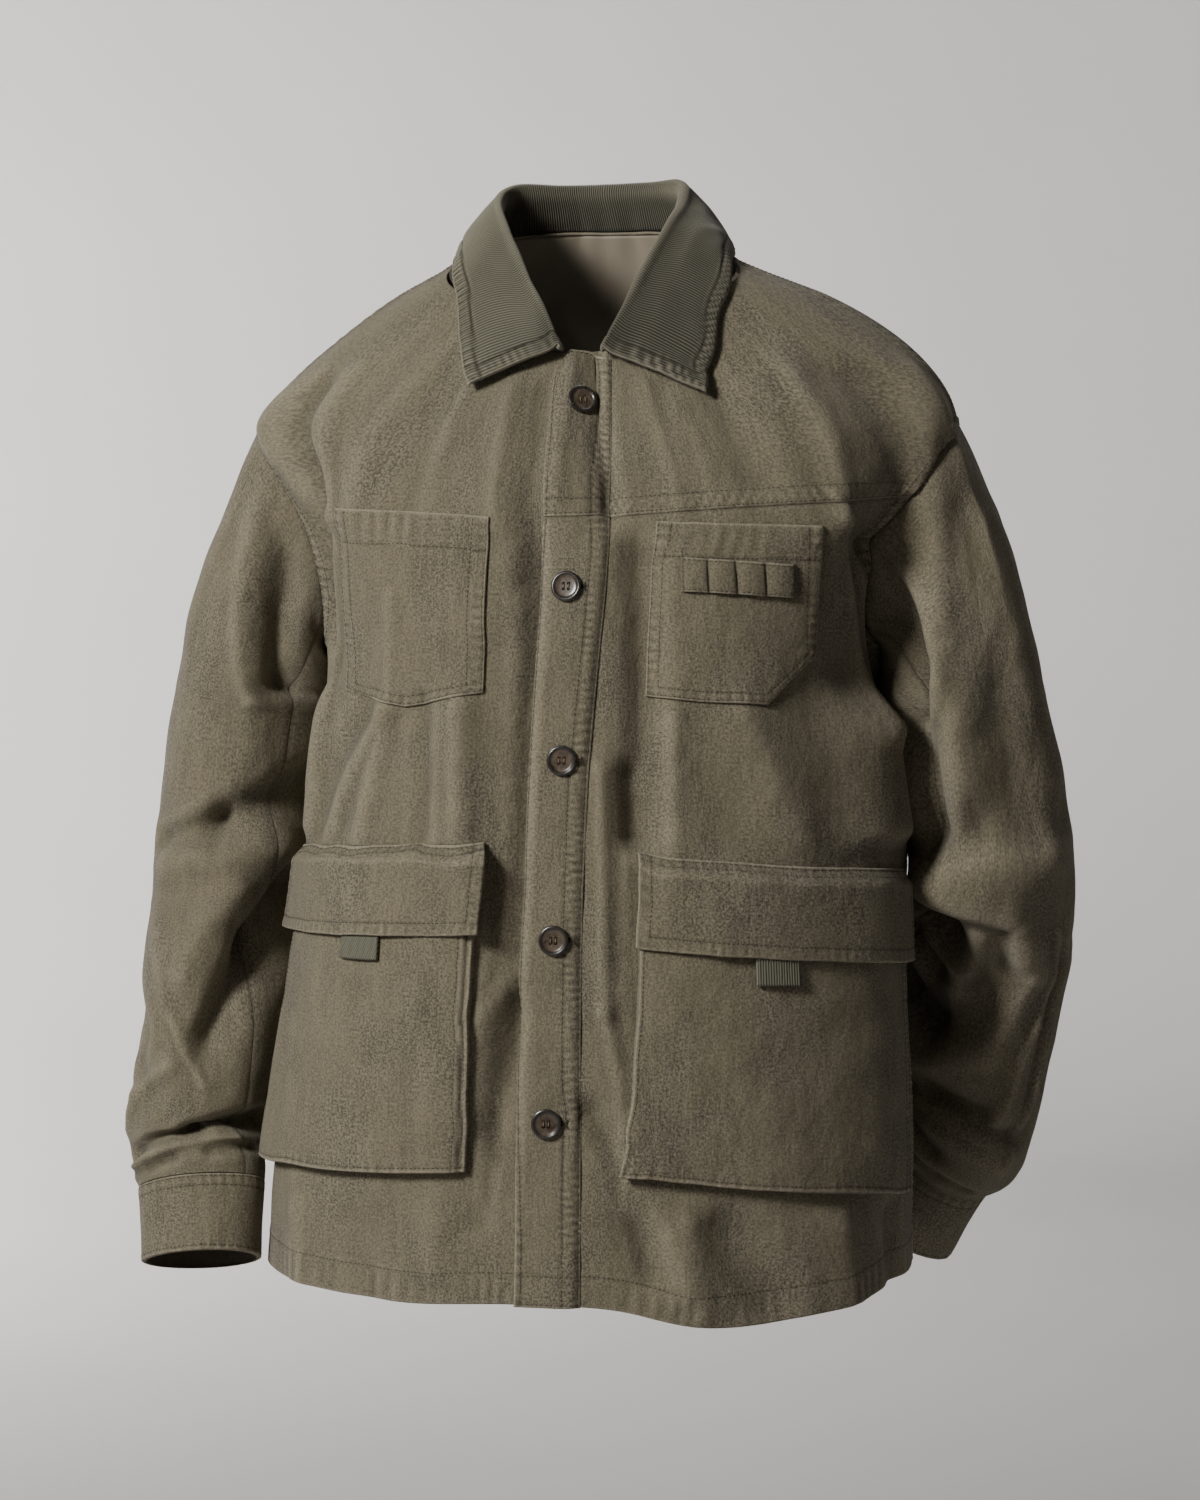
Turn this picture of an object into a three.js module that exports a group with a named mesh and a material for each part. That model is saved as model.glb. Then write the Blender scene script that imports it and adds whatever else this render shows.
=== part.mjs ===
// Button-front barn jacket, filled out with no wearer and held up at the shoulders.
// Millimetres, +Z up. The front faces -Y and the wearer's left is +X.
// The origin is the middle of the neck opening at the height of the back neck seam.
import * as THREE from "three";

// Driving dimensions
const CLOTH = 1.6; // one layer of cotton twill
const DOUBLED = 2.8; // hem, flaps and cuffs, which are folded double
const FACING_CLOTH = 1; // the smooth facing of the back neck
const CORD_CLOTH = 2.6; // the two layers of the corduroy collar
const SEAM_GAP = 0.3; // between two panels at their seam
const LAID_GAP = 1; // under a piece laid on a panel, clear of the panel's flat facets
const HEM_TURN = 24; // height of the turned hem
const ARMHOLE = { angle: 90, spread: 13.5, middle: -219, half: 81 };
const SIDE_SEAM_AT_HEM = 93; // angle of the side seam at the hem
const YOKE_SEAM = -208; // height of the yoke seam at the front edge
const BUTTON = { radius: 10.5, thick: 3, holeRadius: 1.1, holeOffset: 2.3 };
const MM_PER_DEGREE = 3.4; // body girth covered by one degree of angle
const SLEEVE = { length: 560, girth: 370, head: 0.34 }; // head: share of the length shaped at the shoulder
const PEN_LOOPS = { count: 4, height: 3 };
const PLACKET_CORNER = { height: -113, angle: -3.5, fall: 6 }; // the top corner is cut off

// Grid counts: the same rows and turns meet at every seam
const SHOULDER_ROWS = 4;
const ARMHOLE_ROWS = 10; // half of the armhole, so a sleeve has twice as many segments round
const YOKE_ARMHOLE_ROWS = 4; // the rows of the armhole above the yoke seam
const SIDE_ROWS = 9;
const TORSO_ROWS = SHOULDER_ROWS + ARMHOLE_ROWS + SIDE_ROWS;
const YOKE_ROW = SHOULDER_ROWS + YOKE_ARMHOLE_ROWS;
const FRONT_COLUMNS = 11;
const BACK_COLUMNS = 18;
const SLEEVE_TURNS = 2 * ARMHOLE_ROWS;
const SLEEVE_ROWS = 16;
const FACING_ROWS = 4;
const FACING_MARGIN = 3; // columns of the back on each side of the facing

const OLIVE = { color: 0x756d58, roughness: 0.92, metalness: 0 };
const OLIVE_DEEP = { color: 0x6b6450, roughness: 0.92, metalness: 0 };
const CORDUROY = { color: 0x4e4d3f, roughness: 0.95, metalness: 0 };
const FACING = { color: 0x5a5245, roughness: 0.8, metalness: 0 };
const WEBBING = { color: 0x5c5d4c, roughness: 0.9, metalness: 0 };
const HORN = { color: 0x2b211c, roughness: 0.35, metalness: 0 };

// Body sections. Angle 0 is the centre front, 90 the wearer's left side and 180 the centre back.
const BODY = table("height right left front back square", [
  [20, 62, 60, 48, 60, 2.1],
  [0, 84, 80, 58, 72, 2.1],
  [-27, 103, 106, 66, 86, 2.2],
  [-50, 143, 165, 72, 99, 2.3],
  [-77, 180, 211, 80, 112, 2.4],
  [-108, 216, 243, 95, 126, 2.6],
  [-140, 243, 257, 111, 137, 2.7],
  [-172, 232, 249, 126, 145, 2.8],
  [-208, 213, 230, 139, 151, 2.8],
  [-250, 202, 213, 147, 154, 2.7],
  [-305, 197, 206, 152, 153, 2.5],
  [-374, 202, 214.5, 158, 150, 2.4],
  [-450, 209, 221.5, 163, 148, 2.4],
  [-560, 218, 223, 167, 148, 2.4],
  [-660, 231, 226, 168, 150, 2.4],
  [-790, 240, 228, 166, 152, 2.4],
]);

// Largest folds of the body: troughs have a negative depth
const BODY_FOLDS = table("angle height toAngle toHeight width depth", [
  [-64, -180, -68, -300, 26, -7],
  [-67, -225, -71, -310, 22, -8],
  [64, -180, 68, -310, 26, -7],
  [67, -225, 71, -320, 22, -9],
  [-112, -170, -108, -330, 26, -13],
  [113, -170, 109, -340, 26, -14],
  [-15, -330, -14, -640, 26, -6],
  [14, -250, 12, -560, 26, -5],
  [-150, -330, -156, -700, 40, -9],
  [158, -300, 152, -700, 44, -10],
  [-118, -420, -124, -740, 30, 8],
  [122, -430, 118, -740, 30, 8],
]);

// Height of the neck seam by angle away from the centre front
const NECKLINE = table("angle height", [
  [0, -93],
  [12, -92],
  [30, -77],
  [60, -46],
  [90, -18],
  [120, -5],
  [150, 0],
  [180, 0],
]);

// Height of the hem
const HEM = table("angle height", [
  [-180, -746],
  [-93, -744],
  [-66, -746],
  [-36, -751],
  [-10, -748],
  [14, -751],
  [31, -762],
  [57, -756],
  [75, -746],
  [93, -742],
  [180, -746],
]);

// Front edge of the placket and the seam that joins it to the wearer's left front
const PLACKET = table("height edge seam", [
  [-93, -5.5, 15],
  [-124, -8.7, 14.5],
  [-208, -5.5, 12.8],
  [-374, -7.3, 7.3],
  [-750, -10.5, 5],
]);

// Arm sections: middle of the tube, half width and half depth, and the turn of its wide axis
const ARMS = {
  right: table("x y z width depth turn", [
    [-259, -2, -345, 53, 60, 0],
    [-268.5, -4, -425, 54, 58, 0],
    [-273.5, -7, -475, 54, 57, 0],
    [-278, -10, -520, 53, 55, 0],
    [-285, -17, -600, 51, 53, 0],
    [-288, -29, -655, 49, 47, 0],
    [-283, -44, -690, 46, 34, 0],
    [-278, -64, -741, 42, 33, 0],
  ]),
  left: table("x y z width depth turn", [
    [268.5, -18, -345, 55, 60, 2],
    [280, -4, -425, 59, 58, -2],
    [280, 26, -475, 62, 51, -18],
    [274.5, 69, -520, 66, 44, -24],
    [263, 84, -600, 62, 43, -25],
    [250, 104, -655, 59, 41, -26],
    [235, 122, -684, 47, 32, -28],
    [207, 148, -735, 44, 31, -28],
  ]),
};
const SLEEVE_LEAVE = { right: 0.38, left: 0.5 }; // how far the sleeve heads out at the shoulder
const CUFF_TOP = 6; // the arm section at the seam of the cuff

// Largest folds of the sleeves: turn 0 is the outside, 0.25 the front, 0.5 the side by the body;
// along is the distance from the shoulder over the length of the sleeve
const ARM_FOLDS = {
  right: table("turn along toTurn toAlong width depth", [
    [0.16, 0.52, 0.34, 0.62, 26, -9],
    [0.1, 0.8, 0.36, 0.86, 20, -9],
    [0.14, 0.93, 0.36, 0.93, 14, 8],
    [0.2, 0.2, 0.3, 0.42, 30, -7],
    [0.62, 0.5, 0.84, 0.58, 26, -8],
  ]),
  left: table("turn along toTurn toAlong width depth", [
    [0.14, 0.6, 0.36, 0.55, 24, -11],
    [0.1, 0.74, 0.34, 0.7, 22, -9],
    [0.12, 0.88, 0.36, 0.86, 18, -8],
    [0.2, 0.2, 0.28, 0.42, 30, -8],
    [0.64, 0.5, 0.86, 0.6, 26, -8],
  ]),
};

// Collar, from its right front end round the back: the neck seam's angle, the point on the
// fold, and the leaf's edge as an angle and height on the body and its distance from it
const COLLAR = table("neck foldX foldY foldZ edge height lift", [
  [-7, -12, -95, -88, -35.5, -119, 13],
  [-22, -25, -78, -64, -42, -87, 8],
  [-42, -42, -55, -35, -55, -54, 5],
  [-66, -61, -24, -2, -72, -32, 4],
  [-92, -73, 8, 21, -97, -23, 6],
  [-125, -66, 42, 33, -125, -31, 6.5],
  [-155, -36, 62, 34, -152, -30, 4],
  [-180, -5, 67, 34.5, -180, -28, 4],
  [-205, 28, 61, 35, -208, -28, 4],
  [-235, 54, 40, 34, -235, -27, 7],
  [-268, 60, 8, 18, -263, -23, 6],
  [-294, 56, -20, 0, -288, -32, 4],
  [-315, 45, -50, -32, -306, -63, 5],
  [-332, 34, -74, -62, -316, -97, 7],
  [-347, 20, -97, -90, -321.5, -127, 9],
]);
const COLLAR_ROLL = 3.5; // half of the width of the rolled fold
const LEAF_BULGE = 4;
const COLLAR_GAP = 1.7; // height of the collar's edge over the neck seam
const COLLAR_STATIONS = 24;

const BUTTONS = table("angle height", [
  [2.5, -129],
  [1.3, -256],
  [0.5, -374],
  [-1, -496.5],
  [-2.8, -622],
]);

// ---- Tables and interpolation ----

function table(names, rows) {
  const keys = names.split(" ");
  return rows.map((row) => Object.fromEntries(keys.map((key, i) => [key, row[i]])));
}

// Smooth value of one column of a table at a place along another column
function read(rows, along, key, place) {
  const ordered = rows[0][along] < rows[rows.length - 1][along] ? rows : [...rows].reverse();
  const last = ordered.length - 1;
  const at = THREE.MathUtils.clamp(place, ordered[0][along], ordered[last][along]);
  let i = 0;
  while (i < last - 1 && at > ordered[i + 1][along]) i += 1;
  const step = ordered[i + 1][along] - ordered[i][along];
  const t = (at - ordered[i][along]) / step;
  return hermite(ordered[i][key], slope(ordered, along, key, i) * step,
    ordered[i + 1][key], slope(ordered, along, key, i + 1) * step, t);
}

function slope(rows, along, key, i) {
  const before = rows[Math.max(i - 1, 0)];
  const here = rows[i];
  const after = rows[Math.min(i + 1, rows.length - 1)];
  if (before === here) return (after[key] - here[key]) / (after[along] - here[along]);
  if (after === here) return (here[key] - before[key]) / (here[along] - before[along]);
  const low = here[along] - before[along];
  const high = after[along] - here[along];
  const rise = (here[key] - before[key]) / low;
  const climb = (after[key] - here[key]) / high;
  return (rise * high + climb * low) / (low + high);
}

function hermite(from, leave, to, arrive, t) {
  const t2 = t * t;
  const t3 = t2 * t;
  return (2 * t3 - 3 * t2 + 1) * from + (t3 - 2 * t2 + t) * leave
    + (3 * t2 - 2 * t3) * to + (t3 - t2) * arrive;
}

const mix = THREE.MathUtils.lerp;
const radians = THREE.MathUtils.degToRad;

// Sum of soft troughs and ridges, each along its own short line
function folds(rows, place) {
  let total = 0;
  for (const fold of rows) total += fold.depth * Math.exp(-((place(fold) / fold.width) ** 2));
  return total;
}

function distanceToLine(dx, dy, lineX, lineY) {
  const t = THREE.MathUtils.clamp((dx * lineX + dy * lineY) / (lineX ** 2 + lineY ** 2), 0, 1);
  return Math.hypot(dx - t * lineX, dy - t * lineY);
}

// ---- The body's form ----

function bodySection(angle, height) {
  const side = Math.sin(radians(angle));
  const face = Math.cos(radians(angle));
  const across = read(BODY, "height", side < 0 ? "right" : "left", height);
  const deep = read(BODY, "height", face < 0 ? "back" : "front", height);
  const power = read(BODY, "height", "square", height);
  const reach = (Math.abs(side / across) ** power + Math.abs(face / deep) ** power) ** (-1 / power);
  return new THREE.Vector3(reach * side, -reach * face, height);
}

function turned(angle) {
  return ((((angle + 180) % 360) + 360) % 360) - 180;
}

function bodySurface(angle, height) {
  const depth = folds(BODY_FOLDS, (fold) => distanceToLine(
    turned(angle - fold.angle) * MM_PER_DEGREE,
    height - fold.height,
    (fold.toAngle - fold.angle) * MM_PER_DEGREE,
    fold.toHeight - fold.height,
  ));
  const point = bodySection(angle, height);
  const reach = Math.hypot(point.x, point.y);
  point.x *= 1 + depth / reach;
  point.y *= 1 + depth / reach;
  return point;
}

// A point on the body moved out from it by a distance, along the cloth's own normal
function onBody(angle, height, out = 0) {
  const nudge = 0.2;
  const round = bodySurface(angle + nudge, height).sub(bodySurface(angle - nudge, height));
  const up = bodySurface(angle, height + nudge).sub(bodySurface(angle, height - nudge));
  const normal = round.cross(up).normalize();
  return bodySurface(angle, height).addScaledVector(normal, out);
}

const neckHeight = (angle) => read(NECKLINE, "angle", "height", Math.abs(turned(angle)));
const hemHeight = (angle) => read(HEM, "angle", "height", turned(angle));
const placketSeam = (height) => read(PLACKET, "height", "seam", height) - 1;

// The armhole at a turn: 0 at the shoulder, 0.25 at the front, 0.5 under the arm
function armhole(side, turn) {
  const around = 2 * Math.PI * turn;
  return {
    angle: side * (ARMHOLE.angle - ARMHOLE.spread * Math.sin(around)),
    height: ARMHOLE.middle + ARMHOLE.half * Math.cos(around),
  };
}

// The outer edge of a front or back from the neck to the hem, by row
function sideEdge(side, face, row) {
  const top = armhole(side, 0);
  const bottom = armhole(side, 0.5);
  if (row <= SHOULDER_ROWS) {
    const t = row / SHOULDER_ROWS;
    const angle = side * mix(83.5, 90, t * t);
    return { angle, height: mix(neckHeight(angle), top.height, t) };
  }
  if (row <= SHOULDER_ROWS + ARMHOLE_ROWS) {
    return armhole(side, (face * 0.5 * (row - SHOULDER_ROWS)) / ARMHOLE_ROWS);
  }
  const t = (row - SHOULDER_ROWS - ARMHOLE_ROWS) / SIDE_ROWS;
  const angle = side * mix(90, SIDE_SEAM_AT_HEM, t);
  return { angle, height: mix(bottom.height, hemHeight(angle), downSide(t)) };
}

// Rows down the side and front edge, so that the last one is the turned hem
function downSide(t) {
  const last = 1 - HEM_TURN / 445;
  const before = 1 - 1 / SIDE_ROWS;
  return t < before ? (t / before) * last : mix(last, 1, (t - before) / (1 - before));
}

// The line under the placket where the two fronts meet, by row
function frontEdge(row) {
  const lowerRows = TORSO_ROWS - YOKE_ROW;
  const top = neckHeight(14);
  const hem = hemHeight(4);
  let height = mix(top, YOKE_SEAM, row / YOKE_ROW);
  if (row > YOKE_ROW) {
    const t = (row - YOKE_ROW) / lowerRows;
    const last = 1 - 1 / lowerRows;
    const turn = hem + HEM_TURN;
    height = t <= last ? mix(YOKE_SEAM, turn, t / last) : mix(turn, hem, (t - last) / (1 - last));
  }
  return { angle: placketSeam(height), height };
}

// The last row of the fronts and the back is the turned hem, folded double
const bodyCloth = (row) => (row >= TORSO_ROWS - 1 ? DOUBLED : CLOTH);

// ---- Building closed cloth from two grids of points ----

// Faces of a wall between an outer and an inner grid. A tube's columns close on themselves.
function wall(outer, inner, tube = false) {
  const rows = outer.length;
  const columns = outer[0].length;
  const positions = [...outer.flat(), ...inner.flat()];
  const index = [];
  const last = tube ? columns : columns - 1;
  const at = (layer, row, column) => layer * rows * columns + row * columns + (column % columns);
  const quad = (a, b, c, d) => index.push(a, b, c, a, c, d);
  for (let row = 0; row < rows - 1; row += 1) {
    for (let column = 0; column < last; column += 1) {
      quad(at(0, row, column), at(0, row + 1, column),
        at(0, row + 1, column + 1), at(0, row, column + 1));
      quad(at(1, row, column), at(1, row, column + 1),
        at(1, row + 1, column + 1), at(1, row + 1, column));
    }
  }
  for (let column = 0; column < last; column += 1) {
    quad(at(0, 0, column), at(0, 0, column + 1), at(1, 0, column + 1), at(1, 0, column));
    quad(at(1, rows - 1, column), at(1, rows - 1, column + 1),
      at(0, rows - 1, column + 1), at(0, rows - 1, column));
  }
  for (let row = 0; row < rows - 1 && !tube; row += 1) {
    quad(at(0, row, 0), at(1, row, 0), at(1, row + 1, 0), at(0, row + 1, 0));
    quad(at(1, row, last), at(0, row, last), at(0, row + 1, last), at(1, row + 1, last));
  }
  if (signedVolume(positions, index) < 0) index.reverse();
  const geometry = new THREE.BufferGeometry();
  geometry.setAttribute("position",
    new THREE.Float32BufferAttribute(positions.flatMap((p) => p.toArray()), 3));
  geometry.setIndex(index);
  geometry.computeVertexNormals();
  return geometry;
}

function signedVolume(positions, index) {
  let total = 0;
  const cross = new THREE.Vector3();
  for (let i = 0; i < index.length; i += 3) {
    const [a, b, c] = [positions[index[i]], positions[index[i + 1]], positions[index[i + 2]]];
    total += a.dot(cross.crossVectors(b, c));
  }
  return total;
}

// Draws the rim of a grid in by half of the seam gap, along the cloth
function drawIn(grid, { top = true, bottom = true, sides = true, by = SEAM_GAP / 2 } = {}) {
  const rows = grid.length;
  const columns = grid[0].length;
  const copy = grid.map((line) => line.map((p) => p.clone()));
  const step = (point, toward, along) => {
    const direction = toward.clone().sub(point);
    const tangent = along.clone().normalize();
    direction.addScaledVector(tangent, -direction.dot(tangent)).normalize();
    return direction.multiplyScalar(by);
  };
  for (let column = 0; column < columns; column += 1) {
    const before = Math.max(column - 1, 0);
    const after = Math.min(column + 1, columns - 1);
    for (const [edge, inside, wanted] of [[0, 1, top], [rows - 1, rows - 2, bottom]]) {
      const along = grid[edge][after].clone().sub(grid[edge][before]);
      if (wanted) copy[edge][column].add(step(grid[edge][column], grid[inside][column], along));
    }
  }
  for (let row = 0; row < rows; row += 1) {
    const before = Math.max(row - 1, 0);
    const after = Math.min(row + 1, rows - 1);
    for (const [edge, inside] of [[0, 1], [columns - 1, columns - 2]]) {
      const along = grid[after][edge].clone().sub(grid[before][edge]);
      if (sides) copy[row][edge].add(step(grid[row][edge], grid[row][inside], along));
    }
  }
  return copy;
}

// Places of a patch between four edges, each a function of 0 to 1
function patch(edges, columns, rows) {
  const grid = [];
  const corner = [edges.top(0), edges.top(1), edges.bottom(0), edges.bottom(1)];
  for (let row = 0; row <= rows; row += 1) {
    const v = row / rows;
    const line = [];
    for (let column = 0; column <= columns; column += 1) {
      const u = column / columns;
      const place = {};
      for (const key of ["angle", "height"]) {
        const across = mix(edges.left(v)[key], edges.right(v)[key], u);
        const down = mix(edges.top(u)[key], edges.bottom(u)[key], v);
        const [topLeft, topRight, bottomLeft, bottomRight] = corner.map((place) => place[key]);
        const flat = mix(mix(topLeft, topRight, u), mix(bottomLeft, bottomRight, u), v);
        place[key] = across + down - flat;
      }
      line.push(place);
    }
    grid.push(line);
  }
  return grid;
}

const onGrid = (places, out) => places.map((line, row) => line.map((place, column) => {
  const lift = typeof out === "function" ? out(row, column) : out;
  return onBody(place.angle, place.height, lift);
}));

function panel(name, places, finish, { thick = () => CLOTH, rims = {} } = {}) {
  const outer = drawIn(onGrid(places, 0), rims);
  const inner = drawIn(onGrid(places, (row) => -thick(row)), rims);
  return mesh(name, wall(outer, inner), finish);
}

function mesh(name, geometry, finish) {
  const piece = new THREE.Mesh(geometry, new THREE.MeshStandardMaterial(finish));
  piece.name = name;
  return piece;
}

// ---- Body panels ----

function frontPanel(name, side, firstRow, lastRow) {
  const rows = lastRow - firstRow;
  const rowAt = (v) => firstRow + Math.round(v * rows);
  const outside = (v) => sideEdge(side, 1, rowAt(v));
  const inside = (v) => frontEdge(rowAt(v));
  const between = (row, u) => ({
    angle: mix(outside(row).angle, inside(row).angle, u),
    height: mix(outside(row).height, inside(row).height, u),
  });
  const neck = (u) => {
    const angle = mix(outside(0).angle, inside(0).angle, u);
    return { angle, height: neckHeight(angle) };
  };
  const hem = (u) => {
    const angle = mix(outside(1).angle, inside(1).angle, u);
    return { angle, height: hemHeight(angle) };
  };
  const top = firstRow === 0 ? neck : (u) => between(0, u);
  const bottom = lastRow === TORSO_ROWS ? hem : (u) => between(1, u);
  const places = patch({ top, bottom, left: outside, right: inside }, FRONT_COLUMNS, rows);
  return panel(name, places, OLIVE, { thick: (row) => bodyCloth(firstRow + row) });
}

function backPlaces() {
  const edge = (side, row) => sideEdge(side, -1, row);
  const from = (v) => edge(1, Math.round(v * TORSO_ROWS));
  const to = (v) => {
    const place = edge(-1, Math.round(v * TORSO_ROWS));
    return { angle: place.angle + 360, height: place.height };
  };
  const across = (height, v) => (u) => {
    const angle = mix(from(v).angle, to(v).angle, u);
    return { angle, height: height(angle) };
  };
  const edges = { top: across(neckHeight, 0), bottom: across(hemHeight, 1), left: from, right: to };
  return patch(edges, BACK_COLUMNS, TORSO_ROWS);
}

// The smooth facing inside the back neck lies on the inner points of the back
function backFacing(places) {
  const inside = places.slice(0, FACING_ROWS + 1)
    .map((line) => line.slice(FACING_MARGIN, BACK_COLUMNS + 1 - FACING_MARGIN));
  const lift = -CLOTH - LAID_GAP;
  return mesh("back_facing", wall(onGrid(inside, lift), onGrid(inside, lift - FACING_CLOTH)), FACING);
}

// ---- Sleeves and cuffs ----

// A point on the arm's tube: place counts along the rows of its table
function armSection(arm, place, turn) {
  const rows = ARMS[arm].map((row, i) => ({ ...row, place: i }));
  const value = (key, at) => read(rows, "place", key, at);
  const centre = (at) => new THREE.Vector3(value("x", at), value("y", at), value("z", at));
  const axis = centre(place + 0.05).sub(centre(place - 0.05)).normalize();
  const outward = new THREE.Vector3(arm === "left" ? 1 : -1, 0, 0);
  outward.addScaledVector(axis, -outward.dot(axis)).normalize();
  outward.applyAxisAngle(axis, radians(-value("turn", place)));
  const forward = new THREE.Vector3().crossVectors(outward, axis);
  if (forward.y > 0) forward.negate();
  const around = 2 * Math.PI * turn;
  const point = centre(place);
  point.addScaledVector(outward, value("width", place) * Math.cos(around));
  point.addScaledVector(forward, value("depth", place) * Math.sin(around));
  return { point, axis };
}

// The sleeve from the armhole (0) to the cuff seam (1)
function sleeveForm(arm, turn, along) {
  const side = arm === "left" ? 1 : -1;
  const { head } = SLEEVE;
  if (along >= head) {
    return armSection(arm, (CUFF_TOP * (along - head)) / (1 - head), turn).point;
  }
  const hole = armhole(side, turn);
  const start = onBody(hole.angle, hole.height);
  const middle = onBody(side * ARMHOLE.angle, ARMHOLE.middle);
  start.lerp(middle, SEAM_GAP / 2 / start.distanceTo(middle));
  const { point, axis } = armSection(arm, 0, turn);
  const span = start.distanceTo(point);
  const under = (1 - Math.cos(2 * Math.PI * turn)) / 2;
  const leave = new THREE.Vector3(side * mix(SLEEVE_LEAVE[arm], 1.1, under), 0, -0.8);
  leave.setLength(span * 0.9);
  const arrive = axis.multiplyScalar(span * 0.9);
  const t = Math.max(along, 0) / head;
  return new THREE.Vector3(
    hermite(start.x, leave.x, point.x, arrive.x, t),
    hermite(start.y, leave.y, point.y, arrive.y, t),
    hermite(start.z, leave.z, point.z, arrive.z, t),
  );
}

function sleeveSurface(arm, turn, along) {
  const { length, girth } = SLEEVE;
  const depth = folds(ARM_FOLDS[arm], (fold) => {
    const apart = turn - fold.turn - Math.round(turn - fold.turn);
    return distanceToLine(
      apart * girth,
      (along - fold.along) * length,
      (fold.toTurn - fold.turn) * girth,
      (fold.toAlong - fold.along) * length,
    );
  });
  const { smoothstep } = THREE.MathUtils;
  const fade = smoothstep(along, 0.02, 0.2) * (1 - smoothstep(along, 0.96, 1));
  const normal = sleeveNormal(sleeveForm, arm, turn, along);
  return sleeveForm(arm, turn, along).addScaledVector(normal, depth * fade);
}

function sleeveNormal(surface, arm, turn, along) {
  const nudge = 0.004;
  const low = Math.max(along - nudge, 0);
  const high = Math.min(along + nudge, 1);
  const round = surface(arm, turn + nudge, along).sub(surface(arm, turn - nudge, along));
  const down = surface(arm, turn, high).sub(surface(arm, turn, low));
  const normal = round.cross(down).normalize();
  return arm === "left" ? normal : normal.negate();
}

// One of the two pieces of a sleeve, between two seams counted in turns
function sleevePiece(name, arm, first, last) {
  const layer = (out) => {
    const grid = [];
    for (let row = 0; row <= SLEEVE_ROWS; row += 1) {
      const along = row / SLEEVE_ROWS;
      const line = [];
      for (let column = first; column <= last; column += 1) {
        const turn = column / SLEEVE_TURNS;
        const normal = sleeveNormal(sleeveSurface, arm, turn, along);
        line.push(sleeveSurface(arm, turn, along).addScaledVector(normal, out));
      }
      grid.push(line);
    }
    return drawIn(grid, { top: false, by: SEAM_GAP });
  };
  return mesh(name, wall(layer(0), layer(-CLOTH)), OLIVE_DEEP);
}

function cuff(name, arm) {
  const rows = 2;
  const seam = CUFF_TOP + 0.01;
  const layer = (out) => {
    const grid = [];
    for (let row = 0; row <= rows; row += 1) {
      const place = mix(seam, ARMS[arm].length - 1, row / rows);
      const line = [];
      for (let column = 0; column < SLEEVE_TURNS; column += 1) {
        const turn = column / SLEEVE_TURNS;
        const { point } = armSection(arm, place, turn);
        const middle = armSection(arm, place, turn + 0.5).point.lerp(point, 0.5);
        line.push(point.lerp(middle, -out / point.distanceTo(middle)));
      }
      grid.push(line);
    }
    return grid;
  };
  return mesh(name, wall(layer(0), layer(-DOUBLED), true), OLIVE_DEEP);
}

// ---- Collar ----

function collarSection(station) {
  const rows = COLLAR.map((row, i) => ({ ...row, station: i }));
  const value = (key) => read(rows, "station", key, station);
  const neck = onBody(value("neck"), neckHeight(value("neck")) + COLLAR_GAP, -CLOTH / 2);
  const fold = new THREE.Vector3(value("foldX"), value("foldY"), value("foldZ"));
  const edge = onBody(value("edge"), value("height"), value("lift") + CORD_CLOTH / 2);
  const up = new THREE.Vector3(0, 0, 1);
  const rise = fold.clone().sub(neck);
  const out = edge.clone().sub(fold).setZ(0).normalize();
  const roll = COLLAR_ROLL * THREE.MathUtils.smoothstep(rise.length(), 4, 30) + 0.5;
  const inside = fold.clone().addScaledVector(out, -roll * 0.6).addScaledVector(up, -roll);
  const outside = fold.clone().addScaledVector(out, roll * 1.1).addScaledVector(up, -roll * 0.9);
  const leaf = edge.clone().sub(outside);
  const flat = Math.hypot(leaf.x, leaf.y);
  const away = out.clone().multiplyScalar(-leaf.z).addScaledVector(up, flat).normalize();
  const leafPoint = (t) => outside.clone().addScaledVector(leaf, t)
    .addScaledVector(away, LEAF_BULGE * Math.sin(Math.PI * t) ** 0.8);
  const stand = neck.clone().lerp(inside, 0.5).addScaledVector(out, -1);
  return [neck, stand, inside, fold, outside, leafPoint(0.3), leafPoint(0.65), edge];
}

function collar() {
  const last = COLLAR.length - 1;
  const middle = [];
  for (let i = 0; i <= COLLAR_STATIONS; i += 1) {
    middle.push(collarSection((last * i) / COLLAR_STATIONS));
  }
  const layer = (out) => middle.map((line, row) => line.map((point, column) => {
    const before = middle[Math.max(row - 1, 0)][column];
    const after = middle[Math.min(row + 1, middle.length - 1)][column];
    const across = line[Math.min(column + 1, line.length - 1)].clone();
    across.sub(line[Math.max(column - 1, 0)]);
    const normal = across.cross(after.clone().sub(before)).normalize();
    return point.clone().addScaledVector(normal, out * CORD_CLOTH);
  }));
  return mesh("collar", wall(layer(0.5), layer(-0.5)), CORDUROY);
}

// ---- Pieces laid on the fronts ----

// Straight line, or a line with corners, between places in angle and height
function line(...corners) {
  return (t) => {
    const at = t * (corners.length - 1);
    const i = Math.min(Math.floor(at), corners.length - 2);
    const [from, to] = [corners[i], corners[i + 1]];
    return { angle: mix(from[0], to[0], at - i), height: mix(from[1], to[1], at - i) };
  };
}

function laid(name, edges, columns, rows, lift, thick, finish) {
  const places = patch(edges, columns, rows);
  const under = (row, column) => lift(column / columns, row / rows);
  const outer = onGrid(places, (row, column) => under(row, column) + thick);
  return mesh(name, wall(outer, onGrid(places, under)), finish);
}

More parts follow.
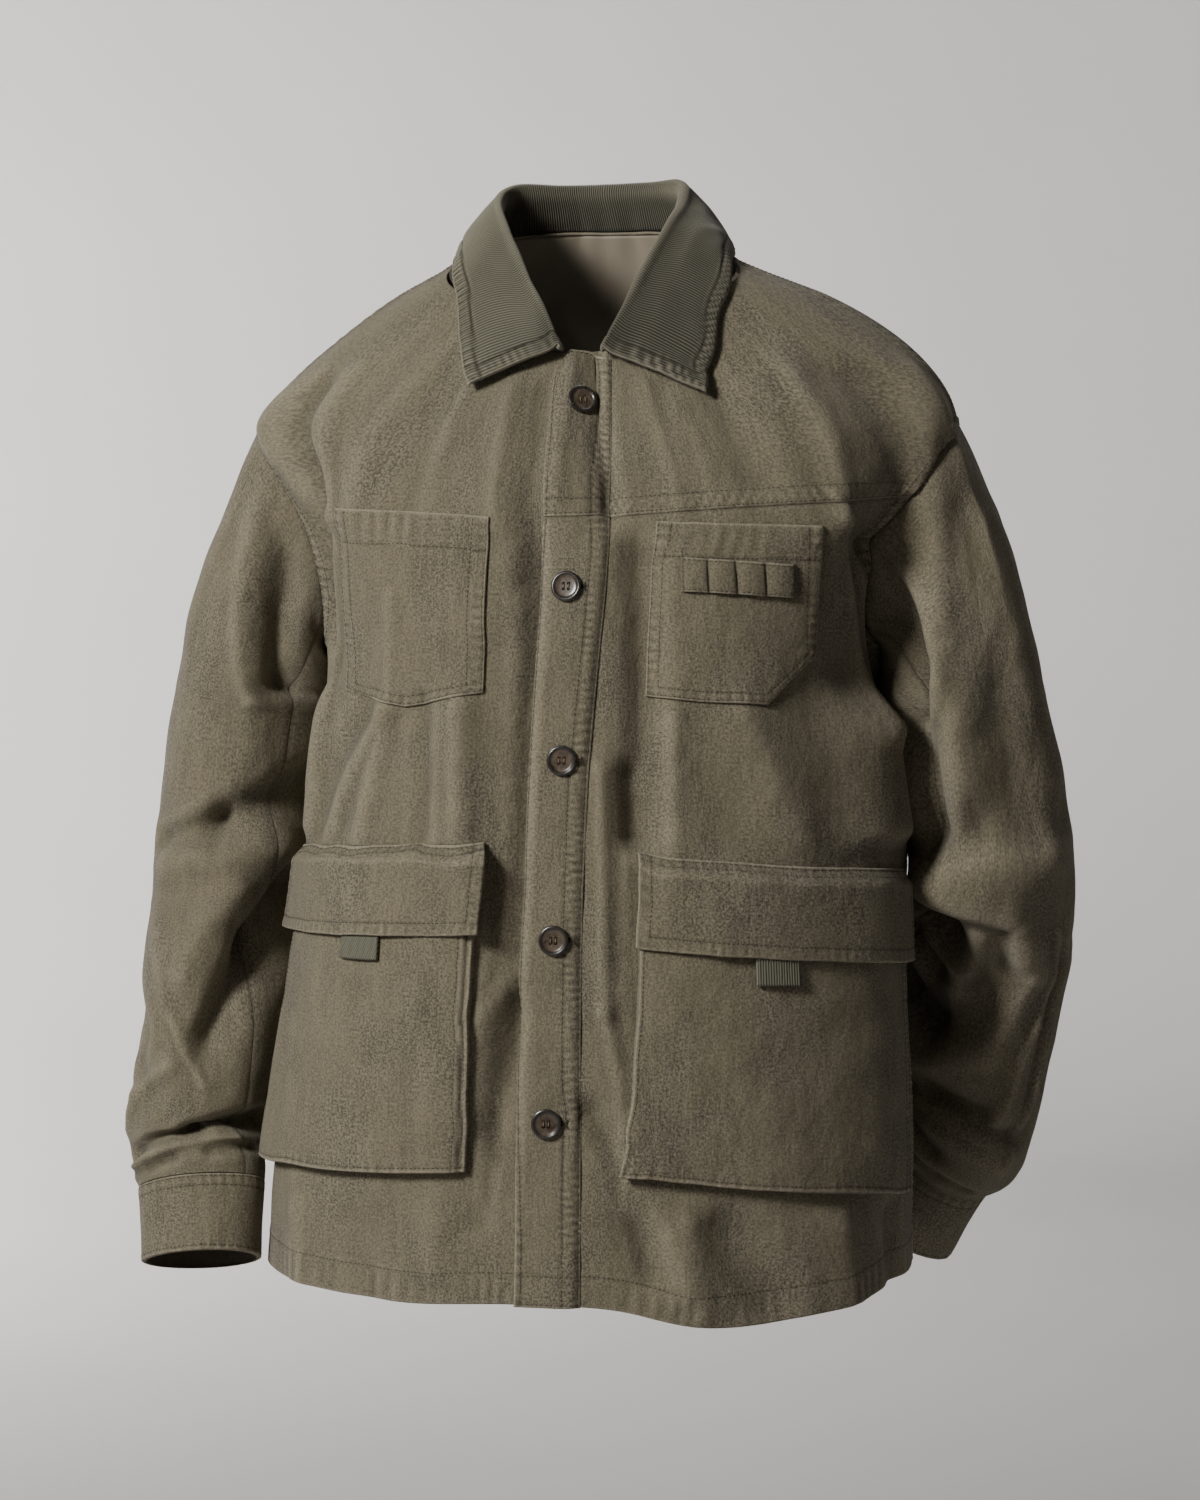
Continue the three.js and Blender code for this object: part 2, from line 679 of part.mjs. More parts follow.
const PATCH_POCKETS = [
  {
    name: "chest_pocket_right",
    top: [[-57.9, -201.5], [-20.3, -208]],
    left: [[-57.9, -201.5], [-57.1, -328.8]],
    right: [[-20.3, -208], [-20.3, -328.5]],
    bottom: [[-57.1, -328.8], [-39.1, -339], [-20.3, -328.5]],
  },
  {
    name: "chest_pocket_left",
    top: [[24.6, -211], [56.6, -214]],
    left: [[24.6, -211], [21.8, -330.5]],
    right: [[56.6, -214], [58.8, -303]],
    bottom: [[21.8, -330.5], [34, -334], [46.9, -336.5], [58.8, -303]],
  },
];

function patchPocket(pocket) {
  const edges = {
    top: line(...pocket.top),
    bottom: line(...pocket.bottom),
    left: line(...pocket.left),
    right: line(...pocket.right),
  };
  return laid(pocket.name, edges, 6, 5, () => LAID_GAP, CLOTH, OLIVE);
}

function penLoops() {
  const edges = {
    top: line([29.8, -236], [51.9, -240]),
    bottom: line([29.5, -259.1], [52.4, -262.7]),
    left: line([29.8, -236], [29.5, -259.1]),
    right: line([51.9, -240], [52.4, -262.7]),
  };
  const { count, height } = PEN_LOOPS;
  const sewn = LAID_GAP + CLOTH + 2 * SEAM_GAP;
  const lift = (u) => sewn + height * Math.sin(Math.PI * count * u) ** 2;
  return laid("pen_loops", edges, 4 * count, 1, lift, CLOTH, OLIVE);
}

// The two bellows pockets: the corners of the pocket, its flap and its webbing tab, in the order
// upper right of the wearer, upper left, lower right, lower left, and how far the pocket stands off
const BELLOWS = [
  {
    side: "right",
    stand: [2, 8, 9, 8],
    pocket: [[-72, -456], [-19.5, -447], [-79, -668], [-21.4, -657.5]],
    flap: [[-72, -440], [-18.2, -431], [-77, -502], [-20.1, -494]],
    tab: [[-49, -470], [-40, -470], [-49, -514], [-40, -513]],
  },
  {
    side: "left",
    stand: [6, 2, 7, 7],
    pocket: [[20, -454], [80, -470], [15.3, -656.5], [79.5, -683]],
    flap: [[19, -438], [82, -455], [17.4, -501], [82, -520]],
    tab: [[42.1, -490], [50.4, -492], [42.1, -527], [50.4, -528]],
  },
];

// How far a bellows pocket's outer face lies from the front, at a share of its width and height
function pocketFace({ stand, pocket }, angle, height) {
  const across = THREE.MathUtils.clamp((angle - pocket[2][0]) / (pocket[3][0] - pocket[2][0]), 0, 1);
  const down = THREE.MathUtils.clamp((height - pocket[1][1]) / (pocket[2][1] - pocket[1][1]), 0, 1);
  const corners = mix(mix(stand[0], stand[1], across), mix(stand[2], stand[3], across), down);
  return LAID_GAP + corners + CLOTH;
}

function fourEdges([topLeft, topRight, bottomLeft, bottomRight]) {
  return {
    top: line(topLeft, topRight),
    bottom: line(bottomLeft, bottomRight),
    left: line(topLeft, bottomLeft),
    right: line(topRight, bottomRight),
  };
}

// A pocket whose sides and bottom are gussets standing off the front, open at the top
function bellowsPocket(bellows) {
  const edges = fourEdges(bellows.pocket);
  const [topLeft, topRight, bottomLeft] = bellows.pocket;
  const width = Math.abs(topRight[0] - topLeft[0]) * MM_PER_DEGREE;
  const height = topLeft[1] - bottomLeft[1];
  const layer = (inset) => {
    const gusset = 0.8;
    const edge = inset / width;
    const lip = (inset + gusset) / width;
    const across = [edge, lip, 1 / 6, 2 / 6, 3 / 6, 4 / 6, 5 / 6, 1 - lip, 1 - edge];
    const down = [0, 0.25, 0.5, 0.75, 1 - (inset + gusset) / height, 1 - inset / height];
    return down.map((v, row) => across.map((u, column) => {
      const sewn = column === 0 || column === across.length - 1 || row === down.length - 1;
      const { angle, height: level } = bilinear(edges, u, v);
      const face = pocketFace(bellows, angle, level) - inset;
      return onBody(angle, level, sewn ? LAID_GAP + SEAM_GAP : face);
    }));
  };
  return mesh(`lower_pocket_${bellows.side}`, wall(layer(0), layer(CLOTH)), OLIVE);
}

function bilinear(edges, u, v) {
  const [from, to] = [edges.left(v), edges.right(v)];
  return { angle: mix(from.angle, to.angle, u), height: mix(from.height, to.height, u) };
}

function pocketFlap(bellows) {
  const edges = fourEdges(bellows.flap);
  const lift = (u, v) => {
    const { angle, height } = bilinear(edges, u, v);
    const high = pocketFace(bellows, angle, height) + CLOTH + 4 * SEAM_GAP;
    return mix(LAID_GAP, high, THREE.MathUtils.smoothstep(v, 0, 0.2));
  };
  return laid(`flap_${bellows.side}`, edges, 8, 5, lift, DOUBLED, OLIVE);
}

function webbingTab(bellows) {
  const edges = fourEdges(bellows.tab);
  const lift = (u, v) => {
    const { angle, height } = bilinear(edges, u, v);
    return pocketFace(bellows, angle, height) + SEAM_GAP;
  };
  return laid(`tab_${bellows.side}`, edges, 2, 2, lift, CLOTH, WEBBING);
}

// ---- Placket and buttons ----

function placketStrip(name, fromHeight, toHeight, rows) {
  const seam = (height) => read(PLACKET, "height", "seam", height);
  const edge = (height) => read(PLACKET, "height", "edge", height);
  const down = (key) => (v) => {
    const height = mix(fromHeight, toHeight, v);
    return { angle: key(height), height };
  };
  const edges = {
    left: down(edge),
    right: down(seam),
    top: line([edge(fromHeight), fromHeight], [seam(fromHeight), fromHeight]),
    bottom: line([edge(toHeight), toHeight], [seam(toHeight), toHeight]),
  };
  if (name === "placket_upper") {
    const cut = [edge(PLACKET_CORNER.height), PLACKET_CORNER.height];
    const neckEnd = [seam(fromHeight), fromHeight - PLACKET_CORNER.fall];
    edges.top = line(cut, [PLACKET_CORNER.angle, fromHeight], [5, fromHeight - 0.5], neckEnd);
    edges.left = line(cut, [edge(toHeight), toHeight]);
    edges.right = line(neckEnd, [seam(toHeight), toHeight]);
  }
  return laid(name, edges, 3, rows, () => LAID_GAP, DOUBLED, OLIVE);
}

function placket() {
  return [
    placketStrip("placket_upper", -92.5, YOKE_SEAM + SEAM_GAP / 2, 6),
    placketStrip("placket_lower", YOKE_SEAM - SEAM_GAP / 2, -749, 16),
  ];
}

function button(name, { angle, height }) {
  const disc = new THREE.Shape().absarc(0, 0, BUTTON.radius, 0, 2 * Math.PI);
  for (let i = 0; i < 4; i += 1) {
    const around = Math.PI / 4 + (Math.PI / 2) * i;
    const hole = new THREE.Path();
    const [x, y] = [Math.cos(around) * BUTTON.holeOffset, Math.sin(around) * BUTTON.holeOffset];
    hole.absarc(x, y, BUTTON.holeRadius, 0, 2 * Math.PI, true);
    disc.holes.push(hole);
  }
  const geometry = new THREE.ExtrudeGeometry(disc, {
    depth: BUTTON.thick,
    bevelEnabled: false,
    curveSegments: 5,
  });
  const piece = mesh(name, geometry, HORN);
  const seat = onBody(angle, height, LAID_GAP + DOUBLED + SEAM_GAP);
  const away = onBody(angle, height, 50).sub(onBody(angle, height)).normalize();
  piece.position.copy(seat);
  piece.quaternion.setFromUnitVectors(new THREE.Vector3(0, 0, 1), away);
  return piece;
}

// ---- The jacket ----

const jacket = new THREE.Group();
const back = backPlaces();
jacket.add(
  frontPanel("front_right", -1, 0, TORSO_ROWS),
  frontPanel("front_left_yoke", 1, 0, YOKE_ROW),
  frontPanel("front_left_lower", 1, YOKE_ROW, TORSO_ROWS),
  panel("back", back, OLIVE, { thick: bodyCloth }),
  backFacing(back),
  collar(),
  sleevePiece("sleeve_right_top", "right", -3, 8),
  sleevePiece("sleeve_right_under", "right", 8, 17),
  sleevePiece("sleeve_left_top", "left", -3, 8),
  sleevePiece("sleeve_left_under", "left", 8, 17),
  cuff("cuff_right", "right"),
  cuff("cuff_left", "left"),
  ...placket(),
  ...PATCH_POCKETS.map(patchPocket),
  penLoops(),
  ...BELLOWS.flatMap((pocket) => [bellowsPocket(pocket), pocketFlap(pocket), webbingTab(pocket)]),
  ...BUTTONS.map((place, i) => button(`button_${i + 1}`, place)),
);

export default jacket;
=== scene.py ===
import math

import bpy
import numpy as np
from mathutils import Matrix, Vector


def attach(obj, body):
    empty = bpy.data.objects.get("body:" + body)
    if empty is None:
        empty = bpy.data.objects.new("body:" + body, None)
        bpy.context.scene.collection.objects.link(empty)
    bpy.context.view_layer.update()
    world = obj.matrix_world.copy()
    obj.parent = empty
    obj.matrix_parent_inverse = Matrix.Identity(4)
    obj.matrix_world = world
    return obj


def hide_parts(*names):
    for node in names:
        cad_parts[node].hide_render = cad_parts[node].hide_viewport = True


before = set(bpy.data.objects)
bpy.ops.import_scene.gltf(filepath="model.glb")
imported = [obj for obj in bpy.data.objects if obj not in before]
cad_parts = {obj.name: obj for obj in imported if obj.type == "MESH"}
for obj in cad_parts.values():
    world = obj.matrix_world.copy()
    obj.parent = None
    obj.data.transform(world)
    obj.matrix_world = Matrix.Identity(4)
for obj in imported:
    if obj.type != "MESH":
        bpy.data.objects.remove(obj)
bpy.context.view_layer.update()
MM = 0.001


def table(names, rows):
    """Named columns of a short table"""
    return dict(zip(names.split(), np.array(rows, float).T))


# ---- Sizes ----

CLOTH = 1.6  # one layer of cotton twill
DOUBLED = 2.8  # hem, flaps, placket and cuffs, which are folded double
CORD_CLOTH = 2.6  # the two layers of the corduroy collar
FACING_CLOTH = 1.0
LAID_GAP = 1.0  # under a piece laid on a panel
SEAM_GAP = 0.3
HEM_TURN = 24
MM_PER_DEGREE = 3.4  # body girth covered by one degree of angle
BODY_GIRTH = 360 * MM_PER_DEGREE
ARMHOLE = {"angle": 90, "spread": 13.5, "middle": -219, "half": 81}
SIDE_SEAM_AT_HEM = 93
SIDE_LENGTH = 445
YOKE_SEAM = -208
SLEEVE = {"length": 560, "girth": 370, "head": 0.34}
WALE = 2.05  # pitch of the corduroy
STITCH = {"pitch": 3.3, "length": 2.5, "width": 0.62, "rise": 0.34}
SHOULDER_ROWS, ARMHOLE_ROWS, SIDE_ROWS = 4, 10, 9
TORSO_ROWS = SHOULDER_ROWS + ARMHOLE_ROWS + SIDE_ROWS
YOKE_ROW = 8
BUTTON = {"radius": 10.5, "thick": 3.0, "hole": 1.2, "spread": 2.5}

# Body sections. Angle 0 is the centre front, 90 the wearer's left side and 180 the centre back.
BODY = table("height right left front back square", [
    [20, 62, 60, 48, 60, 2.1],
    [0, 84, 80, 58, 72, 2.1],
    [-27, 103, 106, 66, 86, 2.2],
    [-50, 143, 165, 72, 99, 2.3],
    [-77, 180, 211, 80, 112, 2.4],
    [-108, 216, 243, 95, 126, 2.6],
    [-140, 243, 257, 111, 137, 2.7],
    [-172, 232, 249, 126, 145, 2.8],
    [-208, 213, 230, 139, 151, 2.8],
    [-250, 202, 213, 147, 154, 2.7],
    [-305, 197, 206, 152, 153, 2.5],
    [-374, 202, 214.5, 158, 150, 2.4],
    [-450, 209, 221.5, 163, 148, 2.4],
    [-560, 218, 223, 167, 148, 2.4],
    [-660, 231, 226, 168, 150, 2.4],
    [-790, 240, 228, 166, 152, 2.4],
])

# Folds of the body: troughs have a negative depth. Bend bows the line sideways, and lean makes
# one flank of the fold steeper than the other.
BODY_FOLDS = table("angle height toAngle toHeight width depth bend lean", [
    # the left front's corner, which stands a little forward of its sleeve
    [70, -190, 71, -420, 30, 7, 0, 0],
    [70, -470, 70, -640, 30, 15, 0, 0],
    # drapes that fall from the armholes down the chest
    [-64, -180, -68, -300, 26, -7, 0, 0],
    [-67, -225, -71, -310, 22, -8, 0, 0],
    [-73, -122, -67, -206, 12, -15, 0, -0.5],
    [-66, -106, -60.5, -205, 10, 5.5, 0, 0.3],
    [-61, -212, -66, -300, 11, 6, 0, 0.4],
    [-67, -312, -70, -425, 13, 6, 0, 0.4],
    [-69, -212, -79, -350, 13, -9, 0, 0],
    [-80, -118, -76, -165, 10, 3, 0, 0],
    [64, -180, 68, -310, 26, -7, 0, 0],
    [67, -225, 71, -320, 22, -9, 0, 0],
    [72.5, -116, 74, -222, 17, -14, 0, 0.5],
    [59.5, -108, 61, -205, 10, 5, 0, -0.3],
    [62, -216, 76, -350, 14, 9, 0, 0.4],
    [76, -362, 80, -440, 20, 8, 0, 0.5],
    [75, -226, 88, -362, 12, -10, 0, 0],
    [80, -104, 82, -150, 9, 4, 0, 0],
    [-3, -110, -4, -190, 10, 3, 0, 0],
    [-112, -170, -108, -330, 26, -13, 0, 0],
    [113, -170, 109, -340, 26, -14, 0, 0],
    # beside the placket, from the chest to the hem
    [-17, -300, -16, -640, 15, -4, 0, 0],
    [-12, -125, -11, -250, 12, -4.5, 0, 0],
    [-24, -120, -20, -210, 11, 3, 0, 0],
    [-44, -345, -49, -432, 9, 4, 0, 0.2],
    [-25, -338, -24, -440, 10, 5, 0, 0],
    [-35, -335, -34, -430, 10, -5, 0, 0],
    [-21, -560, -11, -518, 8, 3.5, 0, 0],
    [-11, -545, -18, -625, 11, -5.5, 0, 0],
    [-18, -625, -20, -690, 12, -4.5, 0, 0],
    [-26, -590, -30, -720, 14, 3.5, 0, 0],
    [9, -106, 12, -200, 15, -8, 0, 0.4],
    [20, -235, 20, -560, 18, -5, 0, 0],
    [22.5, -240, 22, -470, 13, -5.5, 0, 0.3],
    [26, -118, 30, -200, 10, 3, 0, 0],
    [46, -112, 47, -180, 11, -4, 0, 0],
    [26, -350, 25, -440, 10, 3.2, 0, 0],
    [9.5, -380, 10.5, -545, 7, 3, 0, 0],
    [10.5, -545, 17, -625, 8, 3.5, 0, 0],
    [17, -385, 19, -545, 11, -5.5, 0, 0],
    [8, -615, 21, -722, 11, -6, -5, 0],
    [15, -640, 27, -738, 11, 3.5, -5, 0],
    # right chest and waist
    [-43, -262, -43, -335, 7, 2.2, 0, 0],
    [-45, -343, -59, -432, 9, 3.8, 4, 0.3],
    [-51, -345, -66, -425, 14, -4.5, 4, 0],
    [-28, -345, -30, -430, 16, 2.6, 0, 0],
    [-43, -122, -42, -200, 13, -3, 0, 0.3],
    [-53, -116, -55, -205, 12, 2.4, 0, 0],
    # left chest and waist
    [33, -345, 38, -432, 18, -2.5, 0, 0],
    [43, -345, 52, -440, 16, 3, 0, 0],
    [58, -330, 62, -440, 17, -2, 0, 0],
    [36, -130, 38, -205, 16, 2.4, 0, 0],
    [86, -320, 86, -430, 24, 4, 0, 0],
    # below the pockets
    [28, -690, 31, -750, 13, 4, 0, 0],
    [37, -690, 46, -744, 19, -8, 0, 0],
    [58, -690, 62, -750, 14, 4, 0, 0],
    [74, -695, 77, -748, 12, -5, 0, 0],
    [-48, -676, -44, -748, 15, -3.5, 0, 0],
    [-62, -676, -60, -748, 13, 3, 0, 0],
    # back
    [-150, -330, -156, -700, 40, -9, 0, 0],
    [158, -300, 152, -700, 44, -10, 0, 0],
    [-118, -420, -124, -740, 30, 8, 0, 0],
    [122, -430, 118, -740, 30, 8, 0, 0],
    [-140, -170, -128, -330, 20, -7, 6, 0],
    [139, -175, 127, -340, 21, -8, -6, 0],
    [-168, -190, -174, -380, 26, -5, 0, 0],
    [171, -240, 177, -470, 24, -6, 0, 0],
    [-177, -470, -182, -700, 20, 5, 5, 0],
    [-134, -560, -139, -745, 17, -7, 0, 0],
    [137, -590, 142, -745, 18, -7, 0, 0],
    [165, -600, 167, -745, 15, 5, 0, 0],
    [-104, -560, -100, -740, 16, -5, 0, 0],
    [103, -520, 99, -740, 16, -5, 0, 0],
])

NECKLINE = table("angle height", [
    [0, -93], [12, -92], [30, -77], [60, -46], [90, -18], [120, -5], [150, 0], [180, 0],
])

HEM = table("angle height", [
    [-180, -746], [-93, -744], [-66, -746], [-36, -751], [-10, -748], [14, -751],
    [31, -762], [57, -756], [75, -746], [93, -742], [180, -746],
])

PLACKET = table("height edge seam", [
    [-93, -5.5, 15],
    [-124, -8.7, 14.5],
    [-208, -5.5, 12.8],
    [-374, -7.3, 7.3],
    [-750, -10.5, 5],
])

ARMS = {
    "right": table("x y z width depth turn", [
        [-259, -2, -345, 53, 60, 0],
        [-268.5, -4, -425, 54, 58, 0],
        [-273.5, -7, -475, 54, 57, 0],
        [-278, -10, -520, 53, 55, 0],
        [-285, -17, -600, 51, 53, 0],
        [-288, -29, -655, 49, 47, 0],
        [-283, -44, -690, 46, 34, 0],
        [-278, -64, -741, 42, 33, 0],
    ]),
    "left": table("x y z width depth turn", [
        [268.5, -18, -345, 55, 60, 2],
        [280, -4, -425, 59, 58, -2],
        [280, 23, -475, 62, 51, -14],
        [274.5, 57, -520, 66, 45, -20],
        [263, 83, -600, 62, 43, -25],
        [250, 104, -655, 59, 41, -26],
        [235, 122, -684, 47, 32, -28],
        [207, 148, -735, 44, 31, -28],
    ]),
}
SLEEVE_LEAVE = {"right": 0.38, "left": 0.5}
CUFF_TOP = 6

# Folds of the sleeves: turn 0 is the outside, 0.25 the front, 0.5 the side by the body
ARM_FOLDS = {
    "right": table("turn along toTurn toAlong width depth bend lean", [
        # ridge and hollow at the armhole
        [0.16, 0.03, 0.3, 0.32, 12, 6, -6, 0.3],
        [0.26, 0.06, 0.37, 0.25, 17, -13, 0, 0],
        [0.47, 0.08, 0.49, 0.38, 24, 9, 0, 0],
        [0.55, 0.42, 0.54, 0.88, 23, 9, 0, 0],
        # fold across the front above the elbow
        [0.1, 0.49, 0.27, 0.452, 13, -10, 0, -0.4],
        [0.27, 0.452, 0.47, 0.405, 18, -14, 0, -0.4],
        [0.14, 0.53, 0.42, 0.475, 19, 5, 0, 0],
        # deep hollow inside the elbow
        [0.48, 0.55, 0.385, 0.65, 24, -25, 0, 0.3],
        [0.37, 0.665, 0.285, 0.755, 17, -17, 0, 0.3],
        [0.31, 0.56, 0.215, 0.7, 14, 6, 0, 0],
        # short creases of the forearm
        [0.2, 0.742, 0.285, 0.82, 4.5, 2.6, 0, 0],
        [0.13, 0.66, 0.18, 0.74, 8, 2.4, 0, 0],
        [0.03, 0.735, 0.1, 0.76, 10, -7, 0, 0],
        [0.02, 0.8, 0.1, 0.84, 9, 3, 0, 0],
        [0.03, 0.885, 0.2, 0.8, 8, 4.5, 4, 0],
        [0.09, 0.79, 0.16, 0.835, 12, -4, 0, 0],
        # folds pushed up by the cuff
        [0.05, 0.925, 0.27, 0.922, 8, -10, 3, -0.4],
        [0.27, 0.908, 0.48, 0.86, 14, -18, 0, -0.4],
        [0.08, 0.957, 0.38, 0.932, 7, 6, 0, 0],
        [0.13, 0.982, 0.21, 0.973, 5, -3.5, 0, 0],
        [0.3, 0.967, 0.44, 0.952, 6, -4, 0, 0],
        # behind
        [0.62, 0.5, 0.84, 0.58, 24, -9, 0, -0.2],
        [0.66, 0.57, 0.9, 0.63, 16, 5, 0, 0],
        [0.7, 0.28, 0.8, 0.44, 24, -6, 0, 0],
        [0.58, 0.72, 0.82, 0.79, 18, -8, 0, -0.2],
        [0.56, 0.88, 0.9, 0.915, 10, -8, 0, -0.3],
        [0.6, 0.93, 0.94, 0.955, 8, 4.5, 0, 0],
        [0.86, 0.74, 0.96, 0.84, 11, 3.5, 0, 0],
    ]),
    "left": table("turn along toTurn toAlong width depth bend lean", [
        # ridge and hollow at the armhole
        [0.19, 0.03, 0.25, 0.17, 11, 6, 0, 0.3],
        [0.265, 0.205, 0.37, 0.345, 13, 8, 0, 0.3],
        [0.275, 0.05, 0.34, 0.2, 14, -12, 0, 0],
        [0.36, 0.07, 0.385, 0.43, 22, -24, 0, 0],
        [0.265, 0.06, 0.285, 0.42, 16, 5, 0, 0],
        [0.15, 0.08, 0.16, 0.4, 33, -14, 0, 0],
        [0.35, 0.22, 0.44, 0.34, 16, -15, 0, 0],
        [0.46, 0.07, 0.49, 0.42, 24, 9, 0, 0],
        # soft fold across the elbow
        [0.46, 0.465, 0.26, 0.432, 14, -8, 0, -0.3],
        [0.26, 0.432, 0.02, 0.445, 12, -6, 0, -0.3],
        [0.38, 0.495, 0.1, 0.475, 20, 4.5, 0, 0],
        # rolled ridge round the bend of the arm
        [0.37, 0.505, 0.185, 0.525, 12, 8, 0, 0],
        [0.155, 0.55, 0.12, 0.61, 12, 9, 0, 0],
        [0.12, 0.64, 0.145, 0.72, 12, 9, 0, 0],
        [0.175, 0.75, 0.36, 0.785, 12, 10, 0, 0],
        # the hollows inside it
        [0.46, 0.56, 0.31, 0.6, 19, -34, 0, -0.3],
        [0.4, 0.64, 0.31, 0.68, 14, -16, 0, 0],
        [0.44, 0.715, 0.29, 0.738, 12, -20, 0, -0.3],
        [0.235, 0.565, 0.25, 0.69, 11, 8, 0, 0.3],
        [0.185, 0.55, 0.17, 0.63, 6, -5, 0, 0],
        [0.4, 0.82, 0.16, 0.815, 9, -7, 0, -0.3],
        # long creases down the outside
        [0.06, 0.575, 0.076, 0.72, 4.5, 3, 0, 0],
        [0.076, 0.72, 0.12, 0.83, 4.5, 3, 0, 0],
        [0.03, 0.57, 0.03, 0.78, 5, 3.2, 0, 0],
        [0.03, 0.78, 0.066, 0.87, 5, 3.2, 0, 0],
        [0.046, 0.6, 0.052, 0.8, 5, -3, 0, 0],
        # folds pushed up by the cuff
        [0.28, 0.812, 0.06, 0.85, 9, -8, 0, -0.3],
        [0.25, 0.86, 0.08, 0.885, 11, 4.5, 0, 0],
        [0.38, 0.85, 0.24, 0.9, 10, -9, 0, -0.3],
        [0.3, 0.94, 0.12, 0.955, 7, -4, 0, 0],
        # behind
        [0.64, 0.5, 0.86, 0.6, 24, -9, 0, -0.2],
        [0.66, 0.59, 0.9, 0.67, 15, 5, 0, 0],
        [0.7, 0.26, 0.8, 0.42, 24, -6, 0, 0],
        [0.58, 0.7, 0.82, 0.77, 18, -8, 0, -0.2],
        [0.56, 0.86, 0.9, 0.91, 10, -8, 0, -0.3],
        [0.6, 0.92, 0.94, 0.95, 8, 4.5, 0, 0],
    ]),
}

COLLAR = table("neck foldX foldY foldZ edge height lift", [
    [-7, -12, -99, -88, -37, -120, 9],
    [-22, -25, -88, -63, -47.5, -85, 4],
    [-42, -42, -66, -34, -56.5, -52, 3],
    [-66, -61, -30, -2, -71, -31, 1.5],
    [-92, -73, 8, 21, -98, -19, 3],
    [-125, -66, 42, 33, -125, -31, 6.5],
    [-155, -36, 62, 34, -152, -30, 4],
    [-180, -5, 67, 34.5, -180, -28, 4],
    [-205, 28, 61, 35, -208, -28, 4],
    [-235, 54, 40, 34, -235, -27, 7],
    [-268, 60, 8, 18, -263, -19, 2.5],
    [-294, 56, -29, 0, -290, -32, 2],
    [-315, 45, -66, -31, -303.5, -60, 3],
    [-332, 34, -90, -61, -311, -95, 4],
    [-347, 20, -102, -90, -318, -126, 7],
])
COLLAR_ROLL = 3.5
LEAF_BULGE = 4
COLLAR_GAP = 1.7

BUTTONS = table("angle height", [
    [2.5, -129], [1.3, -256], [0.5, -374], [-1, -496.5], [-2.8, -622],
])

# ---- Interpolation and folds ----


def smooth(rows, along, key, at):
    """Smooth value of one column of a table at places along another column"""
    x, y = rows[along], rows[key]
    if x[0] > x[-1]:
        x, y = x[::-1], y[::-1]
    slope = np.gradient(y, x)
    at = np.clip(at, x[0], x[-1])
    i = np.clip(np.searchsorted(x, at, side="right") - 1, 0, len(x) - 2)
    step = x[i + 1] - x[i]
    return hermite(y[i], slope[i] * step, y[i + 1], slope[i + 1] * step, (at - x[i]) / step)


def hermite(start, leave, end, arrive, t):
    t2, t3 = t * t, t * t * t
    return (2 * t3 - 3 * t2 + 1) * start + (t3 - 2 * t2 + t) * leave \
        + (3 * t2 - 2 * t3) * end + (t3 - t2) * arrive


def mix(a, b, t):
    return a + (b - a) * t


def smoothstep(low, high, x):
    t = np.clip((x - low) / (high - low), 0, 1)
    return t * t * (3 - 2 * t)


def unit(v):
    return v / np.maximum(np.linalg.norm(v, axis=-1, keepdims=True), 1e-9)


def fold_field(folds, across, along, girth):
    """Soft troughs and ridges on a chart in millimetres that closes on itself round the girth"""
    total = np.zeros(np.broadcast(across, along).shape)
    for a0, b0, a1, b1, width, depth, bend, lean in zip(*folds.values()):
        da = (across - a0 + girth / 2) % girth - girth / 2
        db = along - b0
        la, lb = a1 - a0, b1 - b0
        length = math.hypot(la, lb)
        share = (da * la + db * lb) / length**2
        inside = np.clip(share, 0, 1)
        off = (da * lb - db * la) / length - bend * 4 * inside * (1 - inside)
        past = (share - inside) * length
        reach = width * (1 + lean * np.tanh(off / width))
        total += depth * np.exp(-(off**2 + past**2) / reach**2)
    return total


def in_mm(folds, across, along, across_scale, along_scale):
    """The same folds with their places in millimetres on a chart"""
    scaled = dict(folds)
    for key in across:
        scaled[key] = folds[key] * across_scale
    for key in along:
        scaled[key] = folds[key] * along_scale
    return scaled


def mottle(across, along, pitch, seed, girth=BODY_GIRTH):
    """Smooth random hills and dips of about one pitch, from -1 to 1, closing round the girth"""
    cells = max(round(girth / pitch), 1)
    draw = np.random.default_rng(seed).uniform(-1, 1, (cells, 97))
    x, y = across / girth * cells, along / pitch + 40
    i, j = np.floor(x).astype(int), np.floor(y).astype(int)
    s, t = smoothstep(0, 1, x - i), smoothstep(0, 1, y - j)
    pick = lambda di, dj: draw[(i + di) % cells, (j + dj) % 97]
    return mix(mix(pick(0, 0), pick(1, 0), s), mix(pick(0, 1), pick(1, 1), s), t)


# ---- The body's form ----


def body_form(angle, height):
    side, face = np.sin(np.radians(angle)), np.cos(np.radians(angle))
    section = lambda key: smooth(BODY, "height", key, height)
    across = np.where(side < 0, section("right"), section("left"))
    deep = np.where(face < 0, section("back"), section("front"))
    power = section("square")
    reach = (np.abs(side / across) ** power + np.abs(face / deep) ** power) ** (-1 / power)
    return np.stack([reach * side, -reach * face, height + 0 * reach], -1)


BODY_LINES = in_mm(BODY_FOLDS, ("angle", "toAngle"), (), MM_PER_DEGREE, 1)


def under_pockets(angle, height):
    """1 where a bellows pocket and its flap stiffen the front, 0 away from them"""
    turn = turned(angle)
    right = smoothstep(-88, -80, turn) * (1 - smoothstep(-20, -16, turn))
    left = smoothstep(12, 16, turn) * (1 - smoothstep(81, 89, turn))
    return (right + left) * smoothstep(-700, -672, height) * (1 - smoothstep(-445, -425, height))


